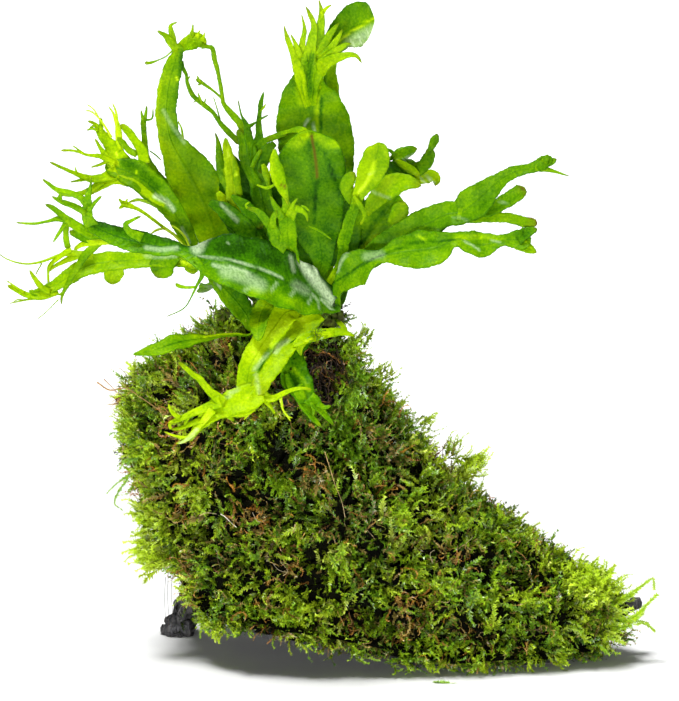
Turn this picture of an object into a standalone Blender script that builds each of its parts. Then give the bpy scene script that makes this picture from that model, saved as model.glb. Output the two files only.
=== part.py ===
"""A java fern with lace-like tips, growing on a moss-covered piece of driftwood.

The object stands on the floor at z = 0. X runs along the wood, from the heel leg on the left
to the toe on the right. Y points away from the viewer and Z points up. Points and lengths are
written in millimetres in a drawing frame, and become metres in mm(). The drawing is then
moved so that the model's origin is on the floor, at the middle of the whole in plan.
"""
import math
from collections import namedtuple

import bmesh
import bpy
from mathutils import Vector, noise

MM = 0.001

# The model's origin in the drawing frame: the middle of the whole in plan
ORIGIN = (-3.05, 10.65, 0)

# Clearance between pieces that touch
GAP = 0.3

# Edges sharper than this are kept crisp
SHARP_ANGLE = math.radians(50)
CUT_TOLERANCE = 0.01

# The boot form of the moss, as slices: height, middle, left end, right end, half depth
BOOT_SLICES = (
    (0.0, -10, -46, 80, 29),
    (8.0, -10, -47, 88, 31),
    (17.0, -10, -50, 88, 32),
    (26.0, -10, -53, 80, 32.5),
    (36.0, -10, -57, 64, 32.5),
    (48.0, -12, -60, 48, 32),
    (60.0, -15, -65, 31, 32),
    (72.0, -18, -66, 21.5, 31.5),
    (80.0, -20, -65, 17, 30),
    (88.0, -22, -58, 11, 28),
    (95.0, -22, -49, 7, 24),
    (100.0, -20, -37, 3, 17),
    (102.2, -18, -31, -5, 10),
    (103.2, -17, -22, -12, 4),
)
TOE_TAPER = 0.15
BEND = 0.09
BEND_CENTRE = (-10, 1)

# Moss coat: sampling, lumps and its lower rim
MOSS_AROUND = 48
MOSS_HEIGHTS = (0, 6, 12, 18, 25, 32, 39, 46, 53, 60, 67, 74, 80, 86, 91, 95.5, 99, 101.3,
                102.6, 103.2)
MOSS_CROWN = 0.3
MOSS_LUMPS = ((16.0, 3.2), (7.0, 1.1))
RIM_HEIGHT = 0.6
RIM_RISES = ((32, 0.24), (-35, 0.6))
RIM_DIP = 5.5
RIM_DIP_PLACE = (-36, -18)
RIM_DIP_WIDTH = 10.0
RIM_HUB = (-8, 0, 20)

# Driftwood inside the moss
WOOD_DEPTH = 7.2
WOOD_TOP = 95.0
WOOD_AROUND = 26
WOOD_LEVELS = 13
WOOD_CROWN = 1.0
WOOD_LUMPS = ((22.0, 1.4), (9.0, 0.5))
ARCH_START = 28.0
ARCH_SLOPE = 0.2
FORK_POINT = (40, 0, 30)
FORK_NORMAL = (0.9, 0, -0.43)

# Heel leg and toe nub: x, y, z and radius along each
HEEL_LEG = (
    (-37, 11, 27, 6.6),
    (-41, 14, 20, 6.0),
    (-44.5, 16.5, 13, 5.4),
    (-47, 19, 7, 5.2),
    (-49, 20.5, 2.5, 6.4),
    (-50, 21, -3, 6.8),
)
TOE_NUB = (
    (68, -5, 12.5, 4.2),
    (80, -5, 14, 3.4),
    (88, -4.5, 15.5, 2.7),
    (92.5, -4, 16.2, 1.6),
)
LIMB_SIDES = 10
LIMB_CROWN = 0.5
LIMB_LUMPS = ((6.0, 0.7),)

# Rhizome, lying along the top of the moss
RHIZOME_START = (-36, 1, 103.5)
RHIZOME_END = (2.5, -1, 103.5)
RHIZOME_RADIUS = 3.0
RHIZOME_RINGS = 11
RHIZOME_BLUNT_END = 0.75
RHIZOME_LUMPS = ((5.0, 0.4),)

# Root mat on the front of the moss: the stretch of the moss grid that it covers
ROOT_HEIGHTS = slice(12, 18)
ROOT_COLUMNS = slice(37, 43)
ROOT_LIFT = 0.5
ROOT_THICKNESS = (1.6, 2.8, 3.0, 2.6, 2.0, 1.4)

# Fronds
BLADE_THICKNESS = 0.9
KEEL = 0.22
STALK_HALF_WIDTH = 0.8
STALK_RISE = 3.5
TIP_HALF_WIDTH = 0.5
FORK_START_WIDENING = 1.5
FORK_SPLIT_WIDENING = 1.6
SAME_PLACE = 0.01

MOSS_GREEN = (0.16, 0.24, 0.03)
WOOD_BLACK = (0.03, 0.03, 0.032)
ROOT_BROWN = (0.05, 0.03, 0.015)
RHIZOME_GREEN = (0.13, 0.17, 0.04)
LIME = (0.45, 0.72, 0.02)
BRIGHT = (0.22, 0.5, 0.01)
MID = (0.1, 0.32, 0.01)
DARK = (0.03, 0.14, 0.01)
WOOD_ROUGHNESS = 0.7
FIBRE_ROUGHNESS = 0.9
RHIZOME_ROUGHNESS = 0.6
BLADE_ROUGHNESS = 0.35

# A fork is a run of points that may part again into smaller forks at its end
Fork = namedtuple("Fork", "points into")

# A frond has a place on the rhizome, a side that faces out, a spine of x, y, z and half
# width, and the forks at its end
Frond = namedtuple("Frond", "name colour root face spine forks")


def fork(*points, into=()):
    return Fork(points, into)


FRONDS = (
    Frond(
        "left_tall", BRIGHT, (-13, -45), (0.15, -0.95, 0.25),
        ((-23, 9, 119, 4), (-33, 13, 129, 7), (-40, 15, 141, 9.5), (-46, 16, 153, 6),
         (-51, 16, 164, 3.6), (-50, 15, 175, 2.6), (-47, 14, 182, 1.8)),
        (fork((-51.5, 12.5, 184), (-57, 10, 179.5)), fork((-50, 13, 186), (-52, 12, 188)),
         fork((-48, 14, 187), (-48, 14, 191)), fork((-43, 15, 185), (-39, 16, 187))),
    ),
    Frond(
        "centre_forked", MID, (-11, -15), (0.1, -0.95, 0.2),
        ((-18, 5, 128, 3), (-22, 8, 139, 4.5), (-24, 9, 148, 4.5), (-26, 10, 154, 3)),
        (fork((-34, 8, 162), (-42, 6, 170), (-45, 5, 179)),
         fork((-28, 10, 159), (-34, 10, 169),
              into=(fork((-38, 9, 173), (-42, 8, 176)), fork((-35, 10, 177), (-38, 10, 185)))),
         fork((-28, 12, 161), (-29, 13, 167)), fork((-22, 12, 160), (-21, 12, 170))),
    ),
    Frond(
        "left_antler", BRIGHT, (-20, -5), (0, -0.8, 0.6),
        ((-28, -1, 123, 3.5), (-40, 1, 132, 5), (-50, 3, 141, 5), (-58, 4, 146, 4.5),
         (-65, 5, 149, 3.5)),
        (fork((-61, 10, 155), (-64, 11, 159), (-68, 12, 166)),
         fork((-65, 8, 154), (-70, 9, 160), into=(fork((-74, 9, 163)), fork((-75, 9, 159)))),
         fork((-70, 4, 152), (-75, 4, 154), into=(fork((-78, 5, 156)), fork((-82, 3, 154)))),
         fork((-71, 3, 146), (-77, 2, 148), into=(fork((-85, 2, 150)), fork((-80, 0, 145)))),
         fork((-69, 2, 144), (-75, 1, 141), into=(fork((-80, 0, 142), (-86, 0, 145)),
                                                  fork((-82, -2, 139))))),
    ),
    Frond(
        "left_spike", MID, (-16, -70), (0, -0.9, 0.4),
        ((-28, 15.5, 120, 2.2), (-44, 22, 132, 2.5), (-52, 19, 140, 2.2), (-56, 16, 151, 1.6),
         (-57, 15, 158, 1.3)),
        (fork((-58, 15, 165)), fork((-55, 14, 166))),
    ),
    Frond(
        "front_glossy", DARK, (-1.7, 40), (-0.1, -0.8, 0.6),
        ((-5, -10.5, 111, 3), (-9, -15, 116.5, 6.3), (-16, -20, 123, 7), (-26, -23, 127, 7),
         (-34, -23, 128, 6),
         (-42, -22, 130, 2.5), (-52, -20, 132, 2.5), (-62, -18, 134, 3), (-69, -17, 135, 2.5)),
        (fork((-70, -18, 141), (-68, -19, 144)), fork((-72, -16, 139), (-73, -15, 144)),
         fork((-79, -16, 138), (-85, -15, 141)), fork((-82, -18, 137), (-93, -20, 136)),
         fork((-80, -19, 134), (-83, -21, 131))),
    ),
    Frond(
        "left_lower", BRIGHT, (-13, 35), (0, -0.85, 0.5),
        ((-20, -8, 115, 3), (-33, -9, 122, 4), (-44, -10, 124, 4.5), (-52, -10, 124, 5),
         (-62, -9, 125, 3), (-70, -8, 124, 2.5)),
        (fork((-80, -8, 123.5), (-88, -9, 122), (-99, -10, 124)),
         fork((-77, -7, 122), (-84, -5, 118), into=(fork((-91, -3, 118.5)), fork((-94, -6, 116)))),
         fork((-76, -9, 120), (-84, -10, 114.5), (-97, -11, 114)),
         fork((-73, -11, 120), (-78, -13, 115.5), (-81, -14, 111))),
    ),
    Frond(
        "centre_broad", BRIGHT, (-6.8, 10), (0.05, -0.97, 0.2),
        ((-5, -8, 124, 5), (-6, -11, 137, 8.5), (-7, -12, 148, 9.5), (-7, -11, 156, 8)),
        (fork((-17.5, -12, 158), (-18, -14, 155), (-16.5, -17, 149), (-14, -18, 142)),
         fork((-13, -8, 162)), fork((-9, -6, 165)), fork((0.5, -11, 159))),
    ),
    Frond(
        "top_broad", MID, (-6.8, -60), (0, -1, 0.1),
        ((-4, 6, 126, 5), (-4, 9, 141, 8), (-5, 11, 156, 10), (-6, 12, 166, 9.5),
         (-8, 11, 174, 5), (-8, 9, 180, 4)),
        (fork((-13, 8, 184), (-16, 8, 191)), fork((-10, 9, 187), (-11, 9, 195)),
         fork((-7, 10, 189), (-5, 10, 198)), fork((-3, 11, 185), (1, 11, 191)),
         fork((-1, 7, 180), (4, 5, 182), (9, 3, 180))),
    ),
    Frond(
        "top_curl", MID, (-4.3, -60), (-0.35, -0.85, 0.3),
        ((-1, 14, 127, 3), (-1, 18, 145, 4), (-2, 20, 163, 4), (-3, 19, 177, 4.5),
         (0, 15, 185, 6), (5, 9, 190, 7), (11, 4, 193, 5)),
        (),
    ),
    Frond(
        "right_curl", LIME, (-1.8, -10), (0.2, -0.9, 0.35),
        ((4, -1, 121, 5), (10, -3, 130, 7.5), (14, -5, 139, 6), (18, -7, 143, 4), (22, -8, 145, 2)),
        (),
    ),
    Frond(
        "right_lobe", LIME, (-4.3, 20), (0.1, -0.98, 0.1),
        ((1, -6, 117.5, 1.5), (3, -13, 130, 3.5), (7, -16, 143, 4), (10, -18, 152, 5),
         (13, -18, 159, 3.5)),
        (),
    ),
    Frond(
        "right_dark", DARK, (-1.8, -60), (0.1, -0.9, 0.4),
        ((8, 14, 123, 2.5), (14, 18, 134, 3), (18, 20, 141, 3.5), (22, 21, 145.5, 3)),
        (fork((17, 22, 151.5)), fork((21.5, 20, 150.5), (23, 19, 152)),
         fork((27, 21.5, 147.5), (30, 23, 154)), fork((26.5, 20, 142.5), (30, 18, 141))),
    ),
    Frond(
        "right_long", BRIGHT, (0.9, 10), (0, -0.9, 0.4),
        ((8, -6, 117.5, 2.5), (18, -8, 125, 4.5), (27, -9, 132, 5), (36, -10, 137, 5.5),
         (43, -10, 139, 4.5)),
        (fork((47, -11, 145), (54, -12, 150), (62, -12, 152),
              into=(fork((65, -13, 155)), fork((69, -11, 148)))),
         fork((50, -10, 142), (56, -9, 144)), fork((52, -12, 139), (60, -14, 136))),
    ),
    Frond(
        "right_low", MID, (0.9, 50), (0, -0.85, 0.5),
        ((1, -8, 114, 2), (4.5, -13, 119.5, 4.5), (11.5, -15, 124.7, 2.5), (19.5, -16, 127, 4),
         (28, -16, 126.5, 4.5), (36, -16, 129, 2.2), (43.5, -15, 128, 3.2), (51, -15, 129, 2.2)),
        (fork((59, -14, 132.5)), fork((60, -16, 125.5))),
    ),
    Frond(
        "down_bright", LIME, (-6.8, 65), (-0.2, -0.75, 0.6),
        ((-10, -22, 107, 5), (-17, -31, 102, 6.5), (-22, -37, 95, 5), (-25, -39, 90, 4)),
        (fork((-34, -39, 88), (-39, -39, 93), (-46, -40, 98)),
         fork((-32, -40, 86), (-39, -41, 82),
              into=(fork((-49, -41, 81)), fork((-50, -42, 78)), fork((-42, -41, 76)))),
         fork((-20.5, -39, 86), (-18, -39, 83)), fork((-18.5, -39, 88.5), (-13, -39, 89.5),
                                                      (-7, -40, 90))),
    ),
    Frond(
        "down_dark", MID, (-4.2, 85), (0.3, -0.85, 0.4),
        ((-5, -19, 103.2, 3), (-8, -28, 99.5, 3), (-7, -33, 93, 4), (-5, -36, 86, 3)),
        (fork((-6.5, -37, 82), (-5, -37, 78)), fork((-2.5, -36, 83), (-0.5, -36, 79)),
         fork((0, -36, 85))),
    ),
    Frond(
        "down_left", BRIGHT, (-15.5, 60), (-0.2, -0.6, 0.8),
        ((-16, -18, 109.5, 3.5), (-21, -28, 109, 3.5), (-22, -34, 103, 1.5)),
        (),
    ),
    Frond(
        "low_left", MID, (-26, 40), (0, -0.8, 0.6),
        ((-30, -10, 109, 2.5), (-36, -13, 115, 2.5), (-41, -15, 122, 1)),
        (),
    ),
    Frond(
        "on_moss", MID, (-22, 75), (0, -0.5, 0.85),
        ((-32, -17, 105, 1.5), (-40, -23, 104, 3.5), (-48, -28, 102, 3.5), (-55, -31, 100, 1)),
        (),
    ),
    Frond(
        "low_right", LIME, (0.9, 85), (0.1, -0.6, 0.8),
        ((-2, -19, 104, 2), (1, -24, 105, 2), (6, -25, 106, 0.8)),
        (),
    ),
    Frond(
        "centre_small", MID, (-9.3, 50), (0, -0.95, 0.3),
        ((-13, -12, 124, 2.5), (-14, -15, 131, 3), (-15, -16, 136, 2.5)),
        (fork((-22, -18, 137), (-27, -19, 141)), fork((-19, -16, 142)), fork((-11, -18, 142)),
         fork((-8, -19, 137))),
    ),
    Frond(
        "centre_yellow", LIME, (-14.5, -10), (0, -0.95, 0.3),
        ((-26, 4.5, 127, 2.5), (-30, 6, 137, 3.5), (-32, 6, 144, 3)),
        (fork((-36, 7, 158)), fork((-33, 5, 159)), fork((-29, 4, 152))),
    ),
    Frond(
        "left_twig", MID, (-17, 25), (0, -0.9, 0.4),
        ((-33, -5, 122, 1.2), (-44, -4, 126, 1.2), (-51, -3, 131, 1), (-58, -3, 136, 1),
         (-64, -3, 138, 1.5)),
        (),
    ),
    Frond(
        "back_left", MID, (-23, -75), (0, 0.6, 0.8),
        ((-31, 22, 112, 3.5), (-42, 38, 121, 6), (-55, 50, 129, 4)),
        (fork((-60, 54, 136)), fork((-63, 53, 129))),
    ),
    Frond(
        "back_centre", BRIGHT, (-10, -80), (0, 0.6, 0.8),
        ((-12, 24, 122, 4), (-16, 42, 130, 7), (-18, 58, 132, 5)),
        (fork((-24, 62, 136)), fork((-18, 64, 131)), fork((-12, 62, 128))),
    ),
    Frond(
        "back_right", MID, (0.9, -85), (0, 0.6, 0.8),
        ((6, 22, 116, 4), (10, 38, 122, 6), (14, 50, 122, 4)),
        (fork((11, 55, 126)), fork((19, 54, 120))),
    ),
    Frond(
        "back_low", DARK, (-19, -75), (0.1, 0.8, 0.6),
        ((-16, 24, 108, 3), (-20, 40, 101, 5), (-22, 49, 88, 3)),
        (fork((-24, 51, 82)), fork((-20, 52, 81))),
    ),
    Frond(
        "back_low_left", MID, (-27, -80), (-0.2, 0.6, 0.8),
        ((-31, 24, 108, 3), (-37, 34, 107, 4), (-42, 41, 103, 1)),
        (),
    ),
)


def mm(*lengths):
    """A vector in metres from lengths in millimetres."""
    return Vector(lengths) * MM


def interpolate(height, column):
    """The value of a column of BOOT_SLICES at a height, in millimetres."""
    rows = BOOT_SLICES
    if height <= rows[0][0]:
        return rows[0][column]
    for low, high in zip(rows, rows[1:]):
        if height <= high[0]:
            share = (height - low[0]) / (high[0] - low[0])
            return low[column] + share * (high[column] - low[column])
    return rows[-1][column]


def lumps_at(point, lumps):
    """Sum of noise at a point, for pairs of lump size and height in millimetres."""
    return sum(height * noise.noise(point / (size * MM)) for size, height in lumps) * MM


def boot_point(height, angle, inset, lumps):
    """A point of the boot form on the slice at a height, moved in by inset."""
    middle, left, right, depth = (interpolate(height, column) for column in (1, 2, 3, 4))
    along = math.cos(angle)
    across = math.sin(angle)
    reach = right - middle if along > 0 else middle - left
    depth *= 1 - TOE_TAPER * max(along, 0)
    x = middle + (reach - inset) * along
    y = BEND_CENTRE[1] - BEND * (x - BEND_CENTRE[0]) + (depth - inset) * across
    point = mm(x, y, height)
    outward = Vector((along, across, 0))
    return point + outward * lumps_at(point, lumps)


def moss_rim(point):
    """Height of the moss's lower edge above the floor, at a point's place in plan."""
    x, y = point.x / MM, point.y / MM
    rise = sum(slope * max(0, start - x) for start, slope in RIM_RISES)
    away = math.hypot(x - RIM_DIP_PLACE[0], y - RIM_DIP_PLACE[1])
    return RIM_HEIGHT + rise - RIM_DIP * math.exp(-((away / RIM_DIP_WIDTH) ** 2))


def moss_point(level, column):
    """A point of the moss's outer surface, whose lower slices are lifted to the rim."""
    angle = math.tau * column / MOSS_AROUND
    nominal = MOSS_HEIGHTS[level]
    rim = moss_rim(boot_point(nominal, angle, 0, ()))
    top = MOSS_HEIGHTS[-1]
    height = rim + (top - rim) * nominal / top
    return boot_point(height, angle, 0, MOSS_LUMPS)


def moss_normal(level, column):
    """The outward direction of the moss's surface at a point of its grid."""
    around = moss_point(level, column + 1) - moss_point(level, column - 1)
    up = moss_point(level + 1, column) - moss_point(level - 1, column)
    return around.cross(up).normalized()


def close_end(bm, ring, centre):
    """Fills a ring of vertices with a fan of triangles."""
    hub = bm.verts.new(centre)
    for a, b in zip(ring, ring[1:] + ring[:1]):
        bm.faces.new((a, b, hub))


def tube(rings, ends):
    """A closed mesh through rings of points, with a fan at each end."""
    bm = bmesh.new()
    loops = [[bm.verts.new(point) for point in ring] for ring in rings]
    for low, high in zip(loops, loops[1:]):
        count = len(low)
        for i in range(count):
            j = (i + 1) % count
            bm.faces.new((low[i], low[j], high[j], high[i]))
    close_end(bm, loops[0], ends[0])
    close_end(bm, loops[-1], ends[1])
    bmesh.ops.triangulate(bm, faces=bm.faces, quad_method="FIXED")
    bmesh.ops.recalc_face_normals(bm, faces=bm.faces)
    return bm


def cut_flat(bm, point, normal):
    """Removes what lies past a plane and closes the cut with flat faces."""
    geometry = bm.verts[:] + bm.edges[:] + bm.faces[:]
    near = CUT_TOLERANCE * MM
    bmesh.ops.bisect_plane(
        bm, geom=geometry, dist=near, plane_co=point, plane_no=normal, clear_outer=True
    )
    open_edges = [edge for edge in bm.edges if edge.is_boundary]
    bmesh.ops.holes_fill(bm, edges=open_edges)
    bmesh.ops.recalc_face_normals(bm, faces=bm.faces)


def material(name, colour, roughness):
    made = bpy.data.materials.new(name)
    made.use_nodes = True
    shader = made.node_tree.nodes["Principled BSDF"]
    shader.inputs["Base Color"].default_value = (*colour, 1)
    shader.inputs["Roughness"].default_value = roughness
    return made


def make_object(name, bm, finish=None):
    """Turns a bmesh into a named object, shaded smooth but for its sharp edges."""
    mesh = bpy.data.meshes.new(name)
    bm.to_mesh(mesh)
    bm.free()
    mesh.shade_smooth()
    mesh.set_sharp_from_angle(angle=SHARP_ANGLE)
    made = bpy.data.objects.new(name, mesh)
    bpy.context.collection.objects.link(made)
    if finish:
        mesh.materials.append(finish)
    return made


def make_cutter(name, bm):
    """A hidden solid that only shapes its neighbours."""
    cutter = make_object(name, bm)
    cutter.hide_render = True
    cutter.display_type = "WIRE"
    return cutter


def combine(target, tool, operation):
    modifier = target.modifiers.new(tool.name, "BOOLEAN")
    modifier.operation = operation
    modifier.solver = "EXACT"
    modifier.object = tool


def limb(stations, grow=0.0):
    """A round limb through stations of x, y, z and radius, with a rough surface."""
    centres = [mm(*station[:3]) for station in stations]
    first = (centres[0] - centres[1]).normalized()
    last = (centres[-1] - centres[-2]).normalized()
    centres[0] += first * grow * MM
    centres[-1] += last * grow * MM
    rings = []
    for i, station in enumerate(stations):
        before = centres[max(i - 1, 0)]
        after = centres[min(i + 1, len(centres) - 1)]
        turn = (after - before).to_track_quat("Z", "Y").to_matrix()
        ring = []
        for k in range(LIMB_SIDES):
            angle = math.tau * k / LIMB_SIDES
            outward = turn @ Vector((math.cos(angle), math.sin(angle), 0))
            surface = centres[i] + outward * station[3] * MM
            bump = lumps_at(surface, LIMB_LUMPS)
            ring.append(surface + outward * (bump + grow * MM))
        rings.append(ring)
    crown = LIMB_CROWN * MM
    return tube(rings, (centres[0] + first * crown, centres[-1] + last * crown))


def wood_body(grow=0.0):
    """The wood's body and toe in one, with a flat base and an arch behind the heel."""
    inset = WOOD_DEPTH - grow
    widest_top = BOOT_SLICES[-3][0]
    rings = []
    for level in range(WOOD_LEVELS + 1):
        share = level / WOOD_LEVELS
        slice_height = min(share * MOSS_HEIGHTS[-1], widest_top)
        ring = []
        for k in range(WOOD_AROUND):
            angle = math.tau * k / WOOD_AROUND
            point = boot_point(slice_height, angle, inset, WOOD_LUMPS)
            point.z = (share * (WOOD_TOP + 2 * grow) - grow) * MM
            ring.append(point)
        rings.append(ring)
    bottom = mm(0, 0, -grow)
    top = mm(interpolate(WOOD_TOP, 1), BEND_CENTRE[1], WOOD_TOP + WOOD_CROWN + grow)
    bm = tube(rings, (bottom, top))
    arch_down = Vector((-ARCH_SLOPE, 0, -1)).normalized()
    cut_flat(bm, mm(ARCH_START, 0, -grow), arch_down)
    return bm


def build_wood():
    """The three limbs of the wood, with the toe's bare nub joined to the toe."""
    normal = Vector(FORK_NORMAL).normalized()
    fork_at = mm(*FORK_POINT)
    trunk = wood_body()
    cut_flat(trunk, fork_at, normal)
    trunk_black = material("trunk_black", WOOD_BLACK, WOOD_ROUGHNESS)
    make_object("driftwood_trunk", trunk, trunk_black)
    toe_mesh = wood_body()
    cut_flat(toe_mesh, fork_at + normal * GAP * MM, -normal)
    toe_black = material("toe_black", WOOD_BLACK, WOOD_ROUGHNESS)
    toe = make_object("driftwood_toe", toe_mesh, toe_black)
    combine(toe, make_cutter("nub", limb(TOE_NUB)), "UNION")
    heel_mesh = limb(HEEL_LEG)
    cut_flat(heel_mesh, Vector(), Vector((0, 0, -1)))
    heel_black = material("heel_black", WOOD_BLACK, WOOD_ROUGHNESS)
    heel = make_object("driftwood_heel", heel_mesh, heel_black)
    wood_space = make_cutter("wood_space", wood_body(GAP))
    combine(heel, wood_space, "DIFFERENCE")
    return wood_space


def rhizome_stations():
    start = Vector(RHIZOME_START)
    end = Vector(RHIZOME_END)
    stations = []
    for i in range(RHIZOME_RINGS):
        centre = start.lerp(end, i / (RHIZOME_RINGS - 1))
        at_end = i in (0, RHIZOME_RINGS - 1)
        radius = RHIZOME_RADIUS * (RHIZOME_BLUNT_END if at_end else 1)
        stations.append((*centre, radius))
    return stations


def build_rhizome():
    green = material("rhizome_green", RHIZOME_GREEN, RHIZOME_ROUGHNESS)
    make_object("fern_rhizome", limb(rhizome_stations()), green)


def build_moss(wood_space):
    """The coat: the boot form less the wood, the heel leg, the nub and the rhizome."""
    levels = range(len(MOSS_HEIGHTS))
    rings = [[moss_point(level, k) for k in range(MOSS_AROUND)] for level in levels]
    top = mm(BOOT_SLICES[-1][1], BEND_CENTRE[1], MOSS_HEIGHTS[-1] + MOSS_CROWN)
    moss_mesh = tube(rings, (mm(*RIM_HUB), top))
    green = material("moss_green", MOSS_GREEN, FIBRE_ROUGHNESS)
    moss = make_object("moss_coat", moss_mesh, green)
    spaces = (
        wood_space,
        make_cutter("heel_space", limb(HEEL_LEG, GAP)),
        make_cutter("nub_space", limb(TOE_NUB, GAP)),
        make_cutter("rhizome_space", limb(rhizome_stations(), GAP)),
    )
    for space in spaces:
        combine(moss, space, "DIFFERENCE")


def build_roots():
    """A mat of roots that follows the moss's grid a little above its surface."""
    levels = range(len(MOSS_HEIGHTS))[ROOT_HEIGHTS]
    columns = range(MOSS_AROUND)[ROOT_COLUMNS]
    bm = bmesh.new()
    inner = []
    outer = []
    for level, thickness in zip(levels, ROOT_THICKNESS):
        inner_row = []
        outer_row = []
        for column in columns:
            point = moss_point(level, column)
            normal = moss_normal(level, column)
            inner_row.append(bm.verts.new(point + normal * ROOT_LIFT * MM))
            outer_row.append(bm.verts.new(point + normal * (ROOT_LIFT + thickness) * MM))
        inner.append(inner_row)
        outer.append(outer_row)
    for grid in (inner, outer):
        for low, high in zip(grid, grid[1:]):
            for i in range(len(low) - 1):
                bm.faces.new((low[i], low[i + 1], high[i + 1], high[i]))
    edges = [
        (inner[0], outer[0]),
        (inner[-1], outer[-1]),
        ([row[0] for row in inner], [row[0] for row in outer]),
        ([row[-1] for row in inner], [row[-1] for row in outer]),
    ]
    for near, far in edges:
        for i in range(len(near) - 1):
            bm.faces.new((near[i], near[i + 1], far[i + 1], far[i]))
    bmesh.ops.recalc_face_normals(bm, faces=bm.faces)
    make_object("fern_roots", bm, material("root_brown", ROOT_BROWN, FIBRE_ROUGHNESS))


def ring_across(bm, point, direction, face, half_width, count):
    """A row of vertices across a blade, from its left edge to its right, sunk at the rib."""
    across = face.cross(direction).normalized()
    normal = direction.cross(across)
    row = []
    for i in range(count):
        place = 1 - 2 * i / (count - 1)
        sink = KEEL * half_width * (1 - place * place) if count > 2 else 0
        row.append(bm.verts.new(point + across * half_width * place - normal * sink))
    return row


def bridge(bm, near, far):
    """Faces between two rows that may have different numbers of vertices."""
    i = 0
    j = 0
    while i < len(near) - 1 or j < len(far) - 1:
        next_near = (i + 1) / (len(near) - 1) if i < len(near) - 1 else 2
        next_far = (j + 1) / (len(far) - 1) if j < len(far) - 1 else 2
        if abs(next_near - next_far) < SAME_PLACE:
            bm.faces.new((near[i], near[i + 1], far[j + 1], far[j]))
            i += 1
            j += 1
        elif next_near < next_far:
            bm.faces.new((near[i], near[i + 1], far[j]))
            i += 1
        else:
            bm.faces.new((near[i], far[j + 1], far[j]))
            j += 1


def grow_forks(bm, row, base, across, half_width, forks, face):
    """Continues a row of vertices into its forks, each from its own share of the row."""
    def side_of(each):
        return (mm(*each.points[0]) - base).dot(across)

    ordered = sorted(forks, key=side_of, reverse=True)
    for k, branch in enumerate(ordered):
        share = row[k:k + 2] if len(ordered) > 1 else row
        narrowest = TIP_HALF_WIDTH * FORK_START_WIDENING * MM
        start = max(half_width / len(ordered), narrowest)
        stops = [base] + [mm(*point) for point in branch.points]
        previous = share
        for i in range(1, len(stops)):
            last = i == len(stops) - 1
            direction = (stops[min(i + 1, len(stops) - 1)] - stops[i - 1]).normalized()
            taper = i / (len(stops) - 1)
            end = TIP_HALF_WIDTH * (FORK_SPLIT_WIDENING if branch.into else 1) * MM
            half = start + (end - start) * taper
            count = len(branch.into) + 1 if last and branch.into else 2
            ring = ring_across(bm, stops[i], direction, face, half, count)
            bridge(bm, previous, ring)
            previous = ring
        if branch.into:
            side = face.cross(direction).normalized()
            grow_forks(bm, previous, stops[-1], side, half, branch.into, face)


def frond_root(frond):
    """Where a stalk leaves the rhizome, and the way that it points there."""
    x, tilt = frond.root
    start = Vector(RHIZOME_START)
    end = Vector(RHIZOME_END)
    centre = start.lerp(end, (x - start.x) / (end.x - start.x))
    tilt = math.radians(tilt)
    out = Vector((0, -math.sin(tilt), math.cos(tilt)))
    surface = RHIZOME_RADIUS + sum(height for size, height in RHIZOME_LUMPS) + GAP
    return mm(*(centre + out * surface)), out


def build_frond(frond):
    """A thin keeled blade on a short stalk, which parts into forks at its end."""
    bm = bmesh.new()
    face = Vector(frond.face).normalized()
    root, out = frond_root(frond)
    stalk = STALK_HALF_WIDTH * MM
    stations = [(root, stalk), (root + out * STALK_RISE * MM, stalk)]
    stations += [(mm(*station[:3]), station[3] * MM) for station in frond.spine]
    row = None
    for i, (point, half) in enumerate(stations):
        before = stations[max(i - 1, 0)][0]
        after = stations[min(i + 1, len(stations) - 1)][0]
        direction = (after - before).normalized()
        last = i == len(stations) - 1
        count = max(3, len(frond.forks) + 1) if last else 3
        ring = ring_across(bm, point, direction, face, half, count)
        if row:
            bridge(bm, row, ring)
        row = ring
    across = face.cross(direction).normalized()
    grow_forks(bm, row, point, across, half, frond.forks, face)
    name = "fern_frond_" + frond.name
    green = material(name + "_green", frond.colour, BLADE_ROUGHNESS)
    made = make_object(name, bm, green)
    thicken = made.modifiers.new("blade thickness", "SOLIDIFY")
    thicken.thickness = BLADE_THICKNESS * MM
    thicken.offset = 0


def stand_on_origin():
    """Hangs every piece on one empty, which moves the drawing to the model's origin."""
    stand = bpy.data.objects.new("stand", None)
    stand.location = -mm(*ORIGIN)
    for piece in list(bpy.data.objects):
        if piece != stand:
            piece.parent = stand
    bpy.context.collection.objects.link(stand)


def main():
    for old in list(bpy.data.objects):
        bpy.data.objects.remove(old, do_unlink=True)
    wood_space = build_wood()
    build_moss(wood_space)
    build_rhizome()
    build_roots()
    for frond in FRONDS:
        build_frond(frond)
    stand_on_origin()


main()
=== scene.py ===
"""Looks of a java fern on a moss-covered piece of driftwood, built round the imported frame.

Points are in millimetres in a drawing frame, the one that the solids were drawn in, and
place() turns them into metres of the model's frame. Nothing random is left unseeded.
"""
import math
import sys
from collections import namedtuple

import bmesh
import bpy
import numpy as np
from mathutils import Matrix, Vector
from mathutils.bvhtree import BVHTree


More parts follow.
